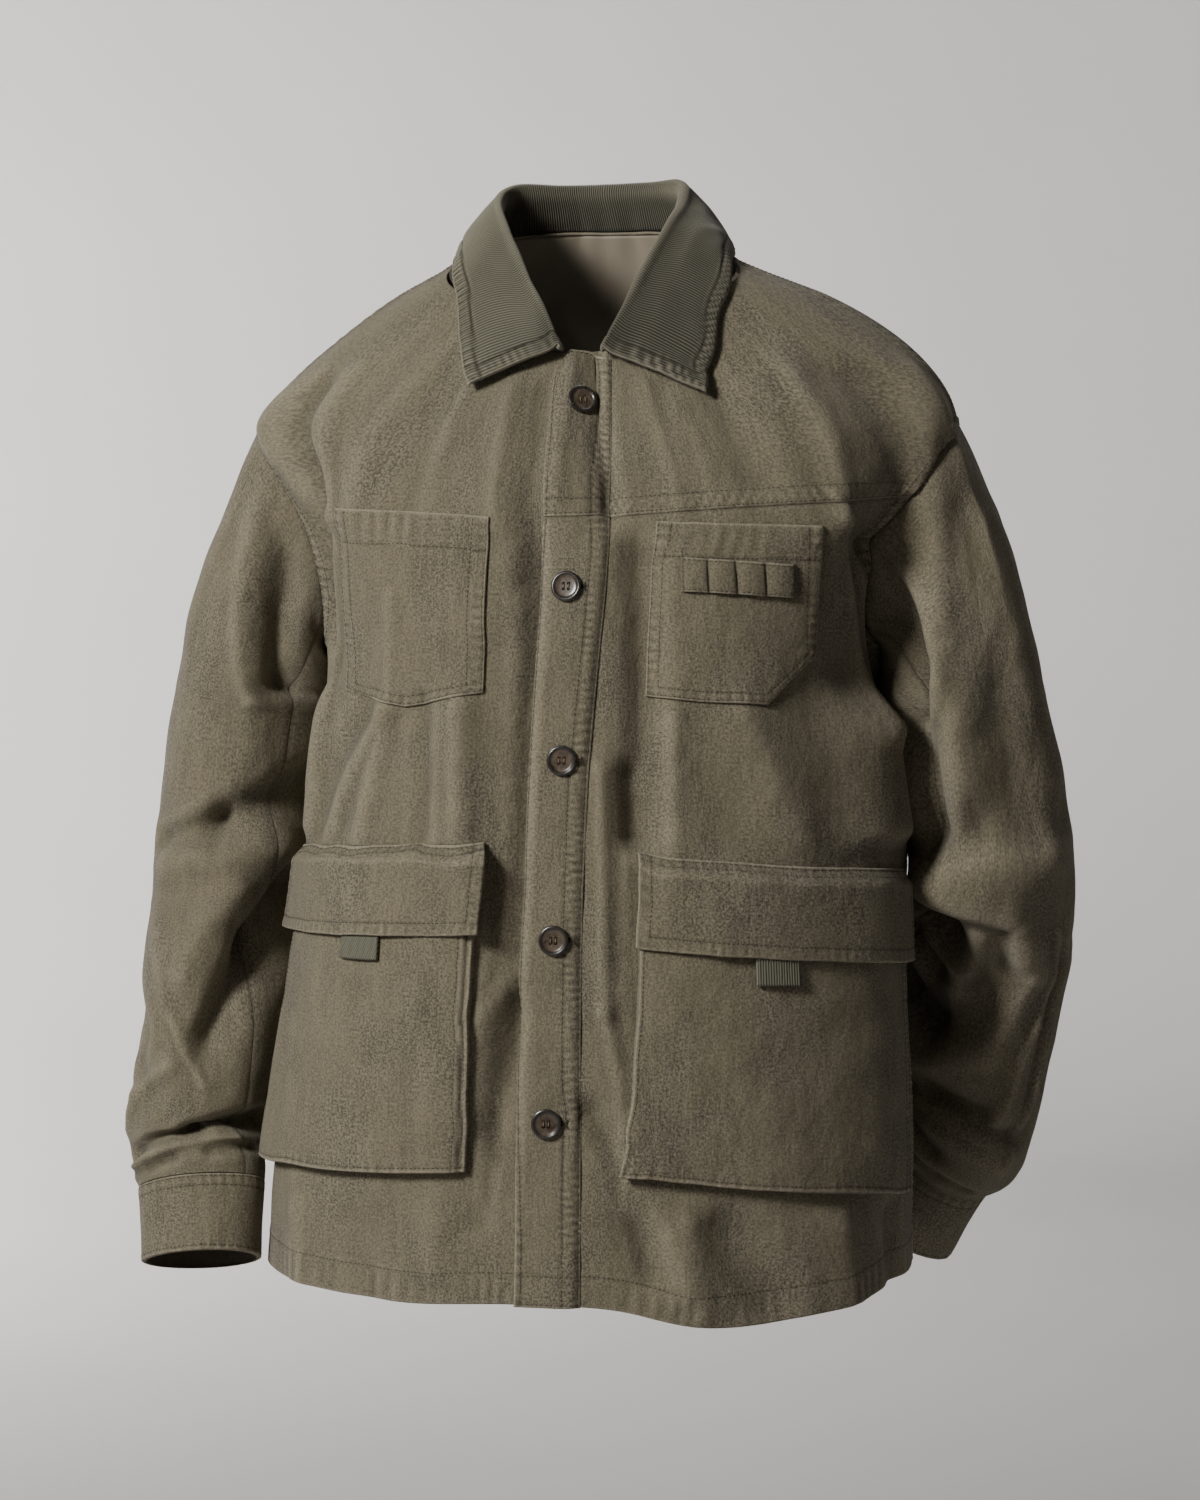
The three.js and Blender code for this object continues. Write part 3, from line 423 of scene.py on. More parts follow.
# The right front beside the placket: how deep it sinks, how far that reaches outside the free
# edge and under it, and how far outside the edge it is deepest.
PLACKET_DIP = {"depth": 16, "outside": 15, "under": 6, "inset": 5.5}


def dip_by_placket(angle, height):
    """How far the right front sinks where it passes under the placket's free edge"""
    from_edge = (turned(angle) - placket_at("edge", height)) * MM_PER_DEGREE + PLACKET_DIP["inset"]
    reach = np.where(from_edge < 0, PLACKET_DIP["outside"], PLACKET_DIP["under"])
    depth = PLACKET_DIP["depth"] * (1 - smoothstep(-260, -170, height)) * smoothstep(-720, -560, height)
    return depth * np.exp(-(from_edge / reach) ** 2)


def body_cloth(angle, height):
    """The body's form with its folds and the unevenness of washed cloth"""
    point = body_form(angle, height)
    across = angle * MM_PER_DEGREE
    depth = 1.25 * fold_field(BODY_LINES, across, height, BODY_GIRTH)
    depth = depth * (1 - 0.7 * under_pockets(angle, height))
    depth = depth + 1.9 * mottle(across, height * 0.6, 61, 3) + 0.95 * mottle(across, height * 0.7, 27, 4)
    depth = depth + 0.2 * mottle(across, height, 12, 5) - dip_by_placket(angle, height)
    reach = np.hypot(point[..., 0], point[..., 1])
    point[..., :2] *= (1 + depth / reach)[..., None]
    return point


def body_normal(angle, height):
    nudge = 0.4
    across = body_cloth(angle + nudge, height) - body_cloth(angle - nudge, height)
    up = body_cloth(angle, height + nudge) - body_cloth(angle, height - nudge)
    return unit(np.cross(across, up))


def on_body(angle, height, out=0.0):
    out = np.asarray(out, float)
    return body_cloth(angle, height) + body_normal(angle, height) * out[..., None]


def turned(angle):
    return (angle + 180) % 360 - 180


def neck_height(angle):
    return smooth(NECKLINE, "angle", "height", np.abs(turned(angle)))


def hem_height(angle):
    return smooth(HEM, "angle", "height", turned(angle))


def placket_at(key, height):
    return smooth(PLACKET, "height", key, height)


def armhole(side, turn):
    """Place on the armhole: turn 0 at the shoulder, 0.25 at the front, 0.5 under the arm"""
    around = 2 * math.pi * turn
    return (side * (ARMHOLE["angle"] - ARMHOLE["spread"] * np.sin(around)),
            ARMHOLE["middle"] + ARMHOLE["half"] * np.cos(around))


def down_side(t):
    """Shares of the side and front edges, so that the last row is the turned hem"""
    last, before = 1 - HEM_TURN / SIDE_LENGTH, 1 - 1 / SIDE_ROWS
    return np.where(t < before, t / before * last, mix(last, 1, (t - before) / (1 - before)))


def side_edge(side, face, row):
    """Outer edge of a front (face 1) or back (face -1) from the neck to the hem"""
    t = row / SHOULDER_ROWS
    shoulder = side * mix(83.5, 90, t * t)
    top = armhole(side, 0)[1]
    hole = armhole(side, face * 0.5 * (row - SHOULDER_ROWS) / ARMHOLE_ROWS)
    bottom = armhole(side, 0.5)[1]
    s = (row - SHOULDER_ROWS - ARMHOLE_ROWS) / SIDE_ROWS
    seam = side * mix(90, SIDE_SEAM_AT_HEM, s)
    on_shoulder, on_hole = row <= SHOULDER_ROWS, row <= SHOULDER_ROWS + ARMHOLE_ROWS
    angle = np.where(on_shoulder, shoulder, np.where(on_hole, hole[0], seam))
    height = np.where(on_shoulder, mix(neck_height(shoulder), top, t),
                      np.where(on_hole, hole[1], mix(bottom, hem_height(seam), down_side(s))))
    return angle, height


def front_edge(row):
    """The line under the placket where the two fronts meet"""
    lower = TORSO_ROWS - YOKE_ROW
    t = (row - YOKE_ROW) / lower
    last, hem = 1 - 1 / lower, hem_height(4.0)
    down = np.where(t <= last, mix(YOKE_SEAM, hem + HEM_TURN, t / last),
                    mix(hem + HEM_TURN, hem, (t - last) / (1 - last)))
    height = np.where(row <= YOKE_ROW, mix(neck_height(14.0), YOKE_SEAM, row / YOKE_ROW), down)
    return placket_at("seam", height) - 1, height


def patch(top, bottom, left, right, u, v):
    """Places between four edges, each an (angle, height) function of 0 to 1"""
    places = []
    for i in range(2):
        sides = mix(left(v)[i][:, None], right(v)[i][:, None], u[None, :])
        ends = mix(top(u)[i][None, :], bottom(u)[i][None, :], v[:, None])
        corner = [float(edge(np.array([t]))[i][0]) for edge in (top, bottom) for t in (0.0, 1.0)]
        flat = mix(mix(corner[0], corner[1], u[None, :]), mix(corner[2], corner[3], u[None, :]), v[:, None])
        places.append(sides + ends - flat)
    return places


def line(*corners):
    """Straight line, or a line with corners, through (angle, height) places"""
    share = np.linspace(0, 1, len(corners))
    values = np.array(corners, float)
    return lambda t: (np.interp(t, share, values[:, 0]), np.interp(t, share, values[:, 1]))


def steps(length, pitch, near=(), far=()):
    """Shares from 0 to 1 along a length, closer together at both ends"""
    start = [0, *near]
    end = [length - d for d in reversed((0, *far))]
    count = max(round((end[0] - start[-1]) / pitch), 1)
    middle = np.linspace(start[-1], end[0], count + 1)[1:-1]
    return np.concatenate([start, middle, end]) / length


# ---- Cloth as a grid ----


def run_length(points, axis):
    """Distance along the lines of a grid from its first row or column"""
    step = np.linalg.norm(np.diff(points, axis=axis), axis=2)
    start = np.zeros((1, step.shape[1]) if axis == 0 else (step.shape[0], 1))
    return np.concatenate([start, np.cumsum(step, axis=axis)], axis=axis)


def ripple(along, seed, pitch=7.5):
    """Uneven small waves along a seam, from -1 to 1"""
    slow = np.sin(along / 19 + seed) + np.sin(along / 33 + 2.3 * seed)
    return np.sin(2 * math.pi * along / pitch + 1.6 * slow) * (0.65 + 0.35 * np.sin(along / 13 + seed))


class Cloth:
    """A piece of cloth as a grid of points, with its distances from its four edges in millimetres"""

    def __init__(self, points, normals, chart):
        self.points, self.normals, self.chart = points, normals, chart
        across, down = run_length(points, 1), run_length(points, 0)
        self.off = {"left": across, "right": across[:, -1:] - across,
                    "top": down, "bottom": down[-1:] - down}
        self.run = {"left": down, "right": down, "top": across, "bottom": across}
        self.relief = np.zeros(points.shape[:2])
        self.wear = np.zeros(points.shape[:2])
        self.shade = np.zeros(points.shape[:2])
        self.rows = []

    def edge(self, side, radius=1.2, wear=0.8, weight=1.0):
        """A rounded and worn free edge"""
        d = self.off[side]
        lip = np.clip(1 - d / radius, 0, 1)
        self.relief -= weight * radius * (1 - np.sqrt(1 - lip**2))
        self.wear += weight * wear * np.exp(-(d / 1.3) ** 2)

    def seam(self, side, depth=0.9, width=2.2, weight=1.0):
        """A piece sinks to the line where it is sewn to its neighbour"""
        near = np.exp(-(self.off[side] / width) ** 2)
        self.relief -= weight * depth * near
        # painted shade along the sewn line, where the seam sinks
        self.shade += weight * 0.5 * np.exp(-(self.off[side] / 1.5) ** 2)

    def band(self, side, width, rise=0.7, weight=1.0):
        """The seam's turned allowance shows as a raised band"""
        self.relief += weight * rise * (1 - smoothstep(width - 1.2, width + 1.6, self.off[side]))

    def pucker(self, side, reach, size, seed, weight=1.0, pitch=7.5):
        """Small puckers that topstitching draws in between an edge and its stitches"""
        d = (self.off[side] - reach * 0.45) / (reach * 0.62)
        waves = ripple(self.run[side], seed, pitch) * np.exp(-d * d)
        self.relief += weight * size * waves
        self.wear += weight * 0.28 * np.clip(waves, 0, 1)
        # painted shade in the troughs of the puckers
        self.shade += weight * 0.35 * np.clip(-waves, 0, 1)

    def topstitch(self, side, inset, trim=(2, 2), part=(0, 1), dip=0.3):
        """A row of stitches at a distance from an edge"""
        count = self.points.shape[0 if side in ("left", "right") else 1]
        self.rows.append((side, inset, trim, slice(round(part[0] * count), max(round(part[1] * count), 2))))
        line = np.exp(-((self.off[side] - inset) / 1.0) ** 2)
        self.relief -= dip * line
        # painted shade along the dip of the stitch line
        self.shade += 1.1 * dip * line

    def surface(self):
        return self.points + self.normals * self.relief[..., None]

    def line_at(self, side, inset, part):
        """Points and normals of the line at a distance from an edge"""
        values = np.concatenate([self.surface(), self.normals], axis=2)
        off = self.off[side]
        if side in ("top", "bottom"):
            values, off = values.transpose(1, 0, 2), off.T
        found = []
        for distance, row in zip(off[part], values[part]):
            order = 1 if distance[-1] > distance[0] else -1
            found.append([np.interp(inset, distance[::order], v[::order]) for v in row.T])
        found = np.array(found)
        return found[:, :3], unit(found[:, 3:])


def bend_tone(points, normals):
    """How far each point of a grid stands above (+) or below (-) its neighbours"""
    middle = points[1:-1, 1:-1]
    ring = (points[:-2, 1:-1] + points[2:, 1:-1] + points[1:-1, :-2] + points[1:-1, 2:]) / 4
    tone = np.zeros(points.shape[:2])
    tone[1:-1, 1:-1] = ((middle - ring) * normals[1:-1, 1:-1]).sum(-1)
    return tone


def grid_mesh(name, outer, inner, chart, material, wear, shade, tube=False):
    """A closed wall between two grids, with its chart in metres and its wear and painted shade at each point
    """
    rows, columns = outer.shape[:2]
    points = np.concatenate([outer.reshape(-1, 3), inner.reshape(-1, 3)])
    place = np.concatenate([chart.reshape(-1, 2)] * 2)
    width = columns if tube else columns - 1
    r, c = [a.ravel() for a in np.meshgrid(np.arange(rows - 1), np.arange(width), indexing="ij")]

    def corner(layer, row, column):
        return layer * rows * columns + row * columns + column % columns

    def quads(*corners):
        return np.stack([corner(*at) for at in corners], 1)

    edge_c, edge_r = np.arange(width), np.arange(rows - 1)
    first, last = np.zeros_like(edge_c), np.full_like(edge_c, rows - 1)
    faces = [
        quads((0, r, c), (0, r + 1, c), (0, r + 1, c + 1), (0, r, c + 1)),
        quads((1, r, c), (1, r, c + 1), (1, r + 1, c + 1), (1, r + 1, c)),
        quads((0, first, edge_c), (0, first, edge_c + 1), (1, first, edge_c + 1), (1, first, edge_c)),
        quads((1, last, edge_c), (1, last, edge_c + 1), (0, last, edge_c + 1), (0, last, edge_c)),
    ]
    if not tube:
        left, right = np.zeros_like(edge_r), np.full_like(edge_r, columns - 1)
        next_r = edge_r + 1
        faces.append(quads((0, edge_r, left), (1, edge_r, left), (1, next_r, left), (0, next_r, left)))
        faces.append(quads((1, edge_r, right), (0, edge_r, right), (0, next_r, right), (1, next_r, right)))
    faces = np.concatenate(faces)
    a, b, c3 = points[faces[:, 0]], points[faces[:, 1]], points[faces[:, 2]]
    d = points[faces[:, 3]]
    if (a * np.cross(b, c3)).sum() + (a * np.cross(c3, d)).sum() < 0:
        faces = faces[:, ::-1]
    inside = np.concatenate([np.zeros(rows * columns), np.ones(rows * columns)])
    values = {"wear": np.tile(wear.ravel(), 2), "shade": np.tile(shade.ravel(), 2), "inside": inside}
    return mesh_piece(name, points, faces, material, place, values)


def mesh_piece(name, points, faces, material, place=None, values=None):
    """An object from points in millimetres and lists of corners"""
    data = bpy.data.meshes.new(name)
    data.from_pydata((points * MM).tolist(), [], faces.tolist() if hasattr(faces, "tolist") else faces)
    if place is not None:
        corners = np.zeros(len(data.loops), np.int32)
        data.loops.foreach_get("vertex_index", corners)
        layer = data.uv_layers.new(name="chart")
        layer.uv.foreach_set("vector", (place[corners] * MM).astype(np.float32).ravel())
    for key, value in (values or {}).items():
        layer = data.attributes.new(key, "FLOAT", "POINT")
        layer.data.foreach_set("value", np.clip(value, 0, 1).astype(np.float32))
    data.shade_smooth()
    data.materials.append(material)
    piece = bpy.data.objects.new(name, data)
    bpy.context.scene.collection.objects.link(piece)
    return piece


# Faces of one short thread: a point, two rings of four and a point
THREAD_FACES = [(2, 1, 0), (3, 2, 0), (4, 3, 0), (1, 4, 0), (2, 6, 5, 1), (3, 7, 6, 2),
                (4, 8, 7, 3), (1, 5, 8, 4), (5, 6, 9), (6, 7, 9), (7, 8, 9), (8, 5, 9)]


def stitch_row(path, normals, trim, lift=0.0):
    """Threads end to end along a path on the cloth, as points and faces"""
    run = np.concatenate([[0], np.cumsum(np.linalg.norm(np.diff(path, axis=0), axis=1))])
    start, end = trim[0], run[-1] - trim[1]
    count = int((end - start) / STITCH["pitch"])
    if count < 1:
        return np.zeros((0, 3)), []
    at = start + (np.arange(count) + 0.5) * (end - start) / count

    def along(values, s):
        return np.stack([np.interp(s, run, v) for v in values.T], 1)

    head, tail = along(path, at - STITCH["length"] / 2), along(path, at + STITCH["length"] / 2)
    up = unit(along(normals, at))
    side = unit(np.cross(up, tail - head)) * STITCH["width"] / 2
    rise = up * STITCH["rise"]
    head, tail = head + up * lift, tail + up * lift
    points = [head - rise * 0.4]
    for share in (0.2, 0.8):
        middle = mix(head, tail, share)
        points += [middle + side, middle + rise, middle - side, middle - rise]
    points.append(tail - rise * 0.4)
    points = np.stack(points, 1)
    faces = [[10 * i + k for k in face] for i in range(count) for face in THREAD_FACES]
    return points.reshape(-1, 3), faces


def join_points(parts):
    """Several sets of points and faces as one"""
    points, faces, start = [], [], 0
    for part_points, part_faces in parts:
        points.append(part_points)
        faces += [[start + k for k in face] for face in part_faces]
        start += len(part_points)
    return np.concatenate(points), faces


# ---- Shader expressions ----


class Wire:
    """A value in a material. Expressions on wires add Math nodes."""

    def __init__(self, finish, socket):
        self.finish, self.socket = finish, socket

    def _math(self, operation, a, b=None, c=None):
        values = {i: v for i, v in enumerate((a, b, c)) if v is not None}
        return self.finish.node("Math", {"operation": operation}, values)

    def __add__(self, other):
        return self._math("ADD", self, other)

    def __sub__(self, other):
        return self._math("SUBTRACT", self, other)

    def __rsub__(self, other):
        return self._math("SUBTRACT", other, self)

    def __mul__(self, other):
        return self._math("MULTIPLY", self, other)

    def __pow__(self, other):
        return self._math("POWER", self, other)

    __radd__, __rmul__ = __add__, __mul__

    def sin(self):
        return self._math("SINE", self)

    def clamp(self, low=0.0, high=1.0):
        return self._math("MINIMUM", self._math("MAXIMUM", self, low), high)


class Finish:
    """A procedural material and the one method that adds its nodes"""

    def __init__(self, name):
        self.material = bpy.data.materials.new(name)
        self.material.use_nodes = True
        self.tree = self.material.node_tree
        self.tree.nodes.clear()

    def node(self, kind, settings=None, values=None, output=0):
        made = self.tree.nodes.new("ShaderNode" + kind)
        for key, value in (settings or {}).items():
            if key == "stops":
                ramp = made.color_ramp
                while len(ramp.elements) < len(value):
                    ramp.elements.new(0.5)
                for element, (at, colour) in zip(ramp.elements, value):
                    element.position, element.color = at, (*colour, 1)
            else:
                setattr(made, key, value)
        for key, value in (values or {}).items():
            if isinstance(value, Wire):
                self.tree.links.new(value.socket, made.inputs[key])
            else:
                made.inputs[key].default_value = value
        return Wire(self, made.outputs[output])

    def attribute(self, name):
        return self.node("Attribute", {"attribute_name": name}, output="Fac")

    def noise(self, where, scale, detail=3.0, rough=0.55):
        values = {"Vector": where, "Scale": scale, "Detail": detail, "Roughness": rough}
        return self.node("TexNoise", {}, values)

    def blend(self, factor, low, high):
        pair = {0: factor, 6: low if isinstance(low, Wire) else (*low, 1),
                7: high if isinstance(high, Wire) else (*high, 1)}
        return self.node("Mix", {"data_type": "RGBA"}, pair, output=2)

    def stretch(self, where, scale):
        return self.node("VectorMath", {"operation": "MULTIPLY"}, {0: where, 1: scale})

    def bump(self, height, strength, distance, under=None):
        values = {"Height": height, "Strength": strength, "Distance": distance}
        if under is not None:
            values["Normal"] = under
        return self.node("Bump", {}, values)

    def done(self, **values):
        shader = self.node("BsdfPrincipled", {}, {k.replace("_", " "): v for k, v in values.items()})
        out = self.tree.nodes.new("ShaderNodeOutputMaterial")
        self.tree.links.new(shader.socket, out.inputs["Surface"])
        return self.material


def chart_xy(finish):
    """The cloth's own chart: across and down, in millimetres"""
    chart = finish.node("UVMap", {"uv_map": "chart"})
    place = finish.stretch(chart, (1000, 1000, 0))
    split = finish.node("SeparateXYZ", {}, {"Vector": place}, output="X")
    down = Wire(finish, split.socket.node.outputs["Y"])
    return place, split, down


def twill_finish(name, light, dark, worn):
    """Garment-dyed cotton twill: slubs, flecks, streaks down the cloth, worn high places, and painted shade
    in its seams, stitch lines and hollows
    """
    finish = Finish(name)
    place, across, down = chart_xy(finish)
    weave = ((across + down * 0.8) * (2 * math.pi / 1.05)).sin()
    streaks = finish.noise(finish.stretch(place, (0.16, 0.014, 1)), 1.0, 4.0, 0.6)
    slubs = finish.noise(finish.stretch(place, (0.85, 0.08, 1)), 1.0, 3.0, 0.6)
    cloudy = finish.noise(finish.stretch(place, (0.055, 0.024, 1)), 1.0, 4.0, 0.65)
    flecks = finish.noise(finish.stretch(place, (0.62, 0.55, 1)), 1.0, 3.0, 0.8)
    tone = (flecks * 5.6 + streaks * 0.7 + slubs * 1.1 + cloudy * 1.0 - 3.72).clamp()
    cloth = finish.blend(tone, dark, light)
    tint = finish.noise(finish.stretch(place, (0.018, 0.01, 1)), 1.0, 3.0)
    cloth = finish.blend((tint * 2.4 - 0.95).clamp(0, 0.35), cloth, (0.187, 0.165, 0.102))
    wear = finish.attribute("wear")
    rubbed = (wear * (flecks * 2.0 - 0.3)).clamp()
    cloth = finish.blend(rubbed, cloth, worn)
    # painted shade: seams, stitch lines, pucker troughs, hollows, pleats, pocket walls and loop tacks are
    # darkened
    painted_shade = (finish.attribute("shade") * 0.6).clamp()
    cloth = finish.blend(painted_shade, cloth, tuple(0.4 * v for v in dark))
    inside = finish.attribute("inside")
    cloth = finish.blend(inside * 0.85, cloth, (0.09, 0.074, 0.054))
    thread = finish.noise(finish.stretch(place, (1.6, 1.3, 1)), 1.0, 2.0, 0.6)
    fine = finish.bump(weave * 0.25 + thread, 0.5, 0.0005)
    nap = finish.bump(flecks, 0.5, 0.0009, fine)
    crumple = finish.noise(finish.stretch(place, (0.085, 0.06, 1)), 1.0, 3.0, 0.6)
    normal = finish.bump(crumple, 0.5, 0.0035, nap)
    return finish.done(Base_Color=cloth, Roughness=0.93, Normal=normal, Sheen_Weight=0.1,
                       Sheen_Roughness=0.6, Specular_IOR_Level=0.15)


def corduroy_finish():
    finish = Finish("corduroy")
    place = chart_xy(finish)[0]
    pile = finish.noise(finish.stretch(place, (0.9, 0.5, 1)), 1.0, 3.0, 0.65)
    cloudy = finish.noise(finish.stretch(place, (0.02, 0.02, 1)), 1.0, 2.0)
    tone = (pile * 0.8 + cloudy * 0.5 - 0.15).clamp()
    colour = finish.blend(tone, (0.125, 0.121, 0.087), (0.25, 0.24, 0.173))
    # painted shade: darker wale grooves, stitch lines, pucker troughs, hollows, the stand and the left leaf
    painted_pile_shade = finish.attribute("shade")
    colour = finish.blend((painted_pile_shade * 0.95).clamp(), colour, (0.024, 0.0225, 0.0165))
    colour = finish.blend((finish.attribute("wear") * 0.8).clamp(), colour, (0.34, 0.31, 0.23))
    normal = finish.bump(pile, 0.5, 0.0005)
    return finish.done(Base_Color=colour, Roughness=0.95, Normal=normal, Sheen_Weight=0.25,
                       Sheen_Roughness=0.5, Specular_IOR_Level=0.15)


def facing_finish():
    finish = Finish("smooth facing")
    place, across, down = chart_xy(finish)
    cloudy = finish.noise(finish.stretch(place, (0.02, 0.014, 1)), 1.0, 3.0)
    colour = finish.blend(cloudy, (0.30, 0.26, 0.20), (0.39, 0.34, 0.26))
    weave = (across * (2 * math.pi / 0.7)).sin() * (down * (2 * math.pi / 0.7)).sin()
    return finish.done(Base_Color=colour, Roughness=0.8, Normal=finish.bump(weave, 0.2, 0.0002),
                       Specular_IOR_Level=0.25)


def webbing_finish():
    finish = Finish("ribbed webbing")
    place = chart_xy(finish)[0]
    thread = finish.noise(finish.stretch(place, (1.2, 2.2, 1)), 1.0, 2.0)
    colour = finish.blend(thread, (0.12, 0.12, 0.088), (0.23, 0.228, 0.17))
    # painted shade in the grooves between the ribs and in hollows
    colour = finish.blend((finish.attribute("shade") * 0.9).clamp(), colour, (0.022, 0.022, 0.016))
    return finish.done(Base_Color=colour, Roughness=0.85, Normal=finish.bump(thread, 0.5, 0.0004),
                       Specular_IOR_Level=0.2)


def thread_finish(name, colour):
    finish = Finish(name)
    where = finish.node("TexCoord", output="Object")
    tone = finish.noise(where, 900.0, 2.0)
    shade = finish.blend(tone, tuple(0.6 * v for v in colour), tuple(1.3 * v for v in colour))
    return finish.done(Base_Color=shade, Roughness=0.8, Specular_IOR_Level=0.25)


def horn_finish():
    finish = Finish("polished dark horn")
    where = finish.node("TexCoord", output="Object")
    swirl = finish.node("TexNoise", {}, {"Vector": where, "Scale": 120.0, "Detail": 3.0, "Distortion": 1.6})
    centre = finish.blend((swirl * 1.8 - 0.4).clamp(), (0.022, 0.017, 0.013), (0.135, 0.10, 0.07))
    rim = finish.blend(swirl, (0.010, 0.009, 0.008), (0.040, 0.033, 0.028))
    colour = finish.blend(finish.attribute("rim"), centre, rim)
    rough = swirl * 0.15 + 0.22
    return finish.done(Base_Color=colour, Roughness=rough, Coat_Weight=0.3, Coat_Roughness=0.15)


LIGHT, DARK, WORN = (0.238, 0.209, 0.147), (0.080, 0.071, 0.050), (0.37, 0.325, 0.235)
TWILL = twill_finish("washed olive twill", LIGHT, DARK, WORN)
CORDUROY = corduroy_finish()
FACING = facing_finish()
WEBBING = webbing_finish()
THREAD = thread_finish("olive thread", (0.058, 0.050, 0.034))
BROWN_THREAD = thread_finish("brown thread", (0.24, 0.18, 0.105))
CORD = thread_finish("neck cord", (0.23, 0.2, 0.145))
HORN = horn_finish()

# ---- Making the pieces ----


def make_cloth(name, cloth, thick, material=TWILL, node=None, slot="twill", tube=False, **sheet):
    """Builds a piece of cloth with its stitches, rides it and hides the model part it stands for"""
    outer = cloth.surface()
    inner = outer - cloth.normals * np.broadcast_to(thick, outer.shape[:2])[..., None]
    tone = bend_tone(outer, cloth.normals)
    wear = np.clip(cloth.wear + np.clip(tone - 0.05, 0, 0.3) * 1.2, 0, 1)
    # painted shade in the hollows, where a point lies below its neighbours
    shade = np.clip(cloth.shade + np.clip(-tone - 0.05, 0, 0.4) * 1.0, 0, 1)
    piece = grid_mesh(name, outer, inner, cloth.chart, material, wear, shade, tube)
    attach(piece, "root")
    if node:
        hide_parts(node)
    if cloth.rows:
        parts = []
        for side, inset, trim, part in cloth.rows:
            path, normals = cloth.line_at(side, inset, part)
            parts.append(stitch_row(path, normals, trim))
        points, faces = join_points(parts)
        stitches = mesh_piece(name + "_stitches", points, faces, THREAD)
        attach(stitches, "root")
    return piece


def body_piece(places, lift=0.0):
    """Cloth on the body's form at places in angle and height, moved out by a lift"""
    angle, height = places
    normals = body_normal(angle, height)
    lift = np.broadcast_to(np.asarray(lift, float), angle.shape)
    points = body_cloth(angle, height) + normals * lift[..., None]
    chart = np.stack([angle * MM_PER_DEGREE, height], -1)
    return Cloth(points, normals, chart)


# Finer rows of the body panels for each of its seam rows
ROW_STEPS = ((0, 4, 40), (4, 8, 28), (8, 14, 52), (14, 22, 96), (22, 23, 9))


def panel_rows(first, last):
    """Rows of a body panel, closer together at its top seam and at its hem"""
    rows = []
    for start, end, count in ROW_STEPS:
        if start >= first and end <= last:
            rows.append(np.linspace(start, end, count, endpoint=False))
    rows = np.concatenate(rows)
    end = last - np.array([0.09, 0.035, 0.0]) * (1 if last == TORSO_ROWS else 2)
    start = first + np.array([0.02, 0.05, 0.09])
    rows = np.concatenate([rows[:1], start, rows[1:], end])
    return np.unique(np.round(rows, 4))


def front_panel(name, node, side, first, last, flat, area):
    rows = panel_rows(first, last)
    v = (rows - first) / (last - first)
    outer = lambda t: side_edge(side, 1, first + t * (last - first))
    inner = lambda t: front_edge(first + t * (last - first))
    ends = [(float(outer(np.array([t]))[0][0]), float(inner(np.array([t]))[0][0])) for t in (0.0, 1.0)]
    tops = [(float(outer(np.array([t]))[1][0]), float(inner(np.array([t]))[1][0])) for t in (0.0, 1.0)]

    def across(i, level):
        def at(u):
            angle = mix(ends[i][0], ends[i][1], u)
            return angle, (level(angle) if level else mix(tops[i][0], tops[i][1], u))
        return at

    top = across(0, neck_height if first == 0 else None)
    bottom = across(1, hem_height if last == TORSO_ROWS else None)
    u = steps(265, 3.7, (0.8, 1.8, 3.4, 6, 8.6, 10, 12.5))
    cloth = body_piece(patch(top, bottom, outer, inner, u, v))
    row = np.broadcast_to(rows[:, None], cloth.relief.shape)
    upper = 1 - smoothstep(13.2, 13.9, row)
    lower = smoothstep(13.9, 14.4, row)
    cloth.band("left", 9.5, 1.3, upper)
    cloth.edge("left", 1.5, 0.8, upper)
    cloth.pucker("left", 9, 0.5, side + 2.0, upper, 9)
    cloth.seam("left", 0.8, 2.5, lower)
    share = (13.6 - first) / (last - first)
    cloth.topstitch("left", 1.9, part=(0, min(share, 1)))
    cloth.topstitch("left", 8.3, part=(0, min(share, 1)))
    if last == TORSO_ROWS:
        cloth.edge("bottom", 1.3, 0.5)
        cloth.pucker("bottom", 20, 0.3, side + 5.0, pitch=11)
        cloth.relief += 0.5 * (1 - smoothstep(HEM_TURN - 1, HEM_TURN + 1.5, cloth.off["bottom"]))
        cloth.topstitch("bottom", HEM_TURN - 2, trim=(4, 4))
    if last == YOKE_ROW:
        cloth.band("bottom", 14, 0.7)
        cloth.edge("bottom", 1.2, 0.8)
        cloth.pucker("bottom", 13, 0.42, 1.7, pitch=8)
        cloth.topstitch("bottom", 1.9, trim=(8, 2))
        cloth.topstitch("bottom", 12.5, trim=(8, 2))
    if first == YOKE_ROW:
        cloth.seam("top", 1.0, 2.2)
    hem = (1 - smoothstep(HEM_TURN - 1, HEM_TURN + 1, cloth.off["bottom"])) if last == TORSO_ROWS else 0
    thick = mix(CLOTH, DOUBLED, hem)
    return make_cloth(name, cloth, thick, node=node, held="hung", flat=flat, area=area, rests_on=["collar"])


def back_places(rows, u):
    v = rows / TORSO_ROWS
    left = lambda t: side_edge(1, -1, t * TORSO_ROWS)
    right = lambda t: (lambda place: (place[0] + 360, place[1]))(side_edge(-1, -1, t * TORSO_ROWS))

    def across(t, level):
        a = float(left(np.array([t]))[0][0])
        b = float(right(np.array([t]))[0][0])
        return lambda u: (mix(a, b, u), level(mix(a, b, u)))

    return patch(across(0.0, neck_height), across(1.0, hem_height), left, right, u, v)


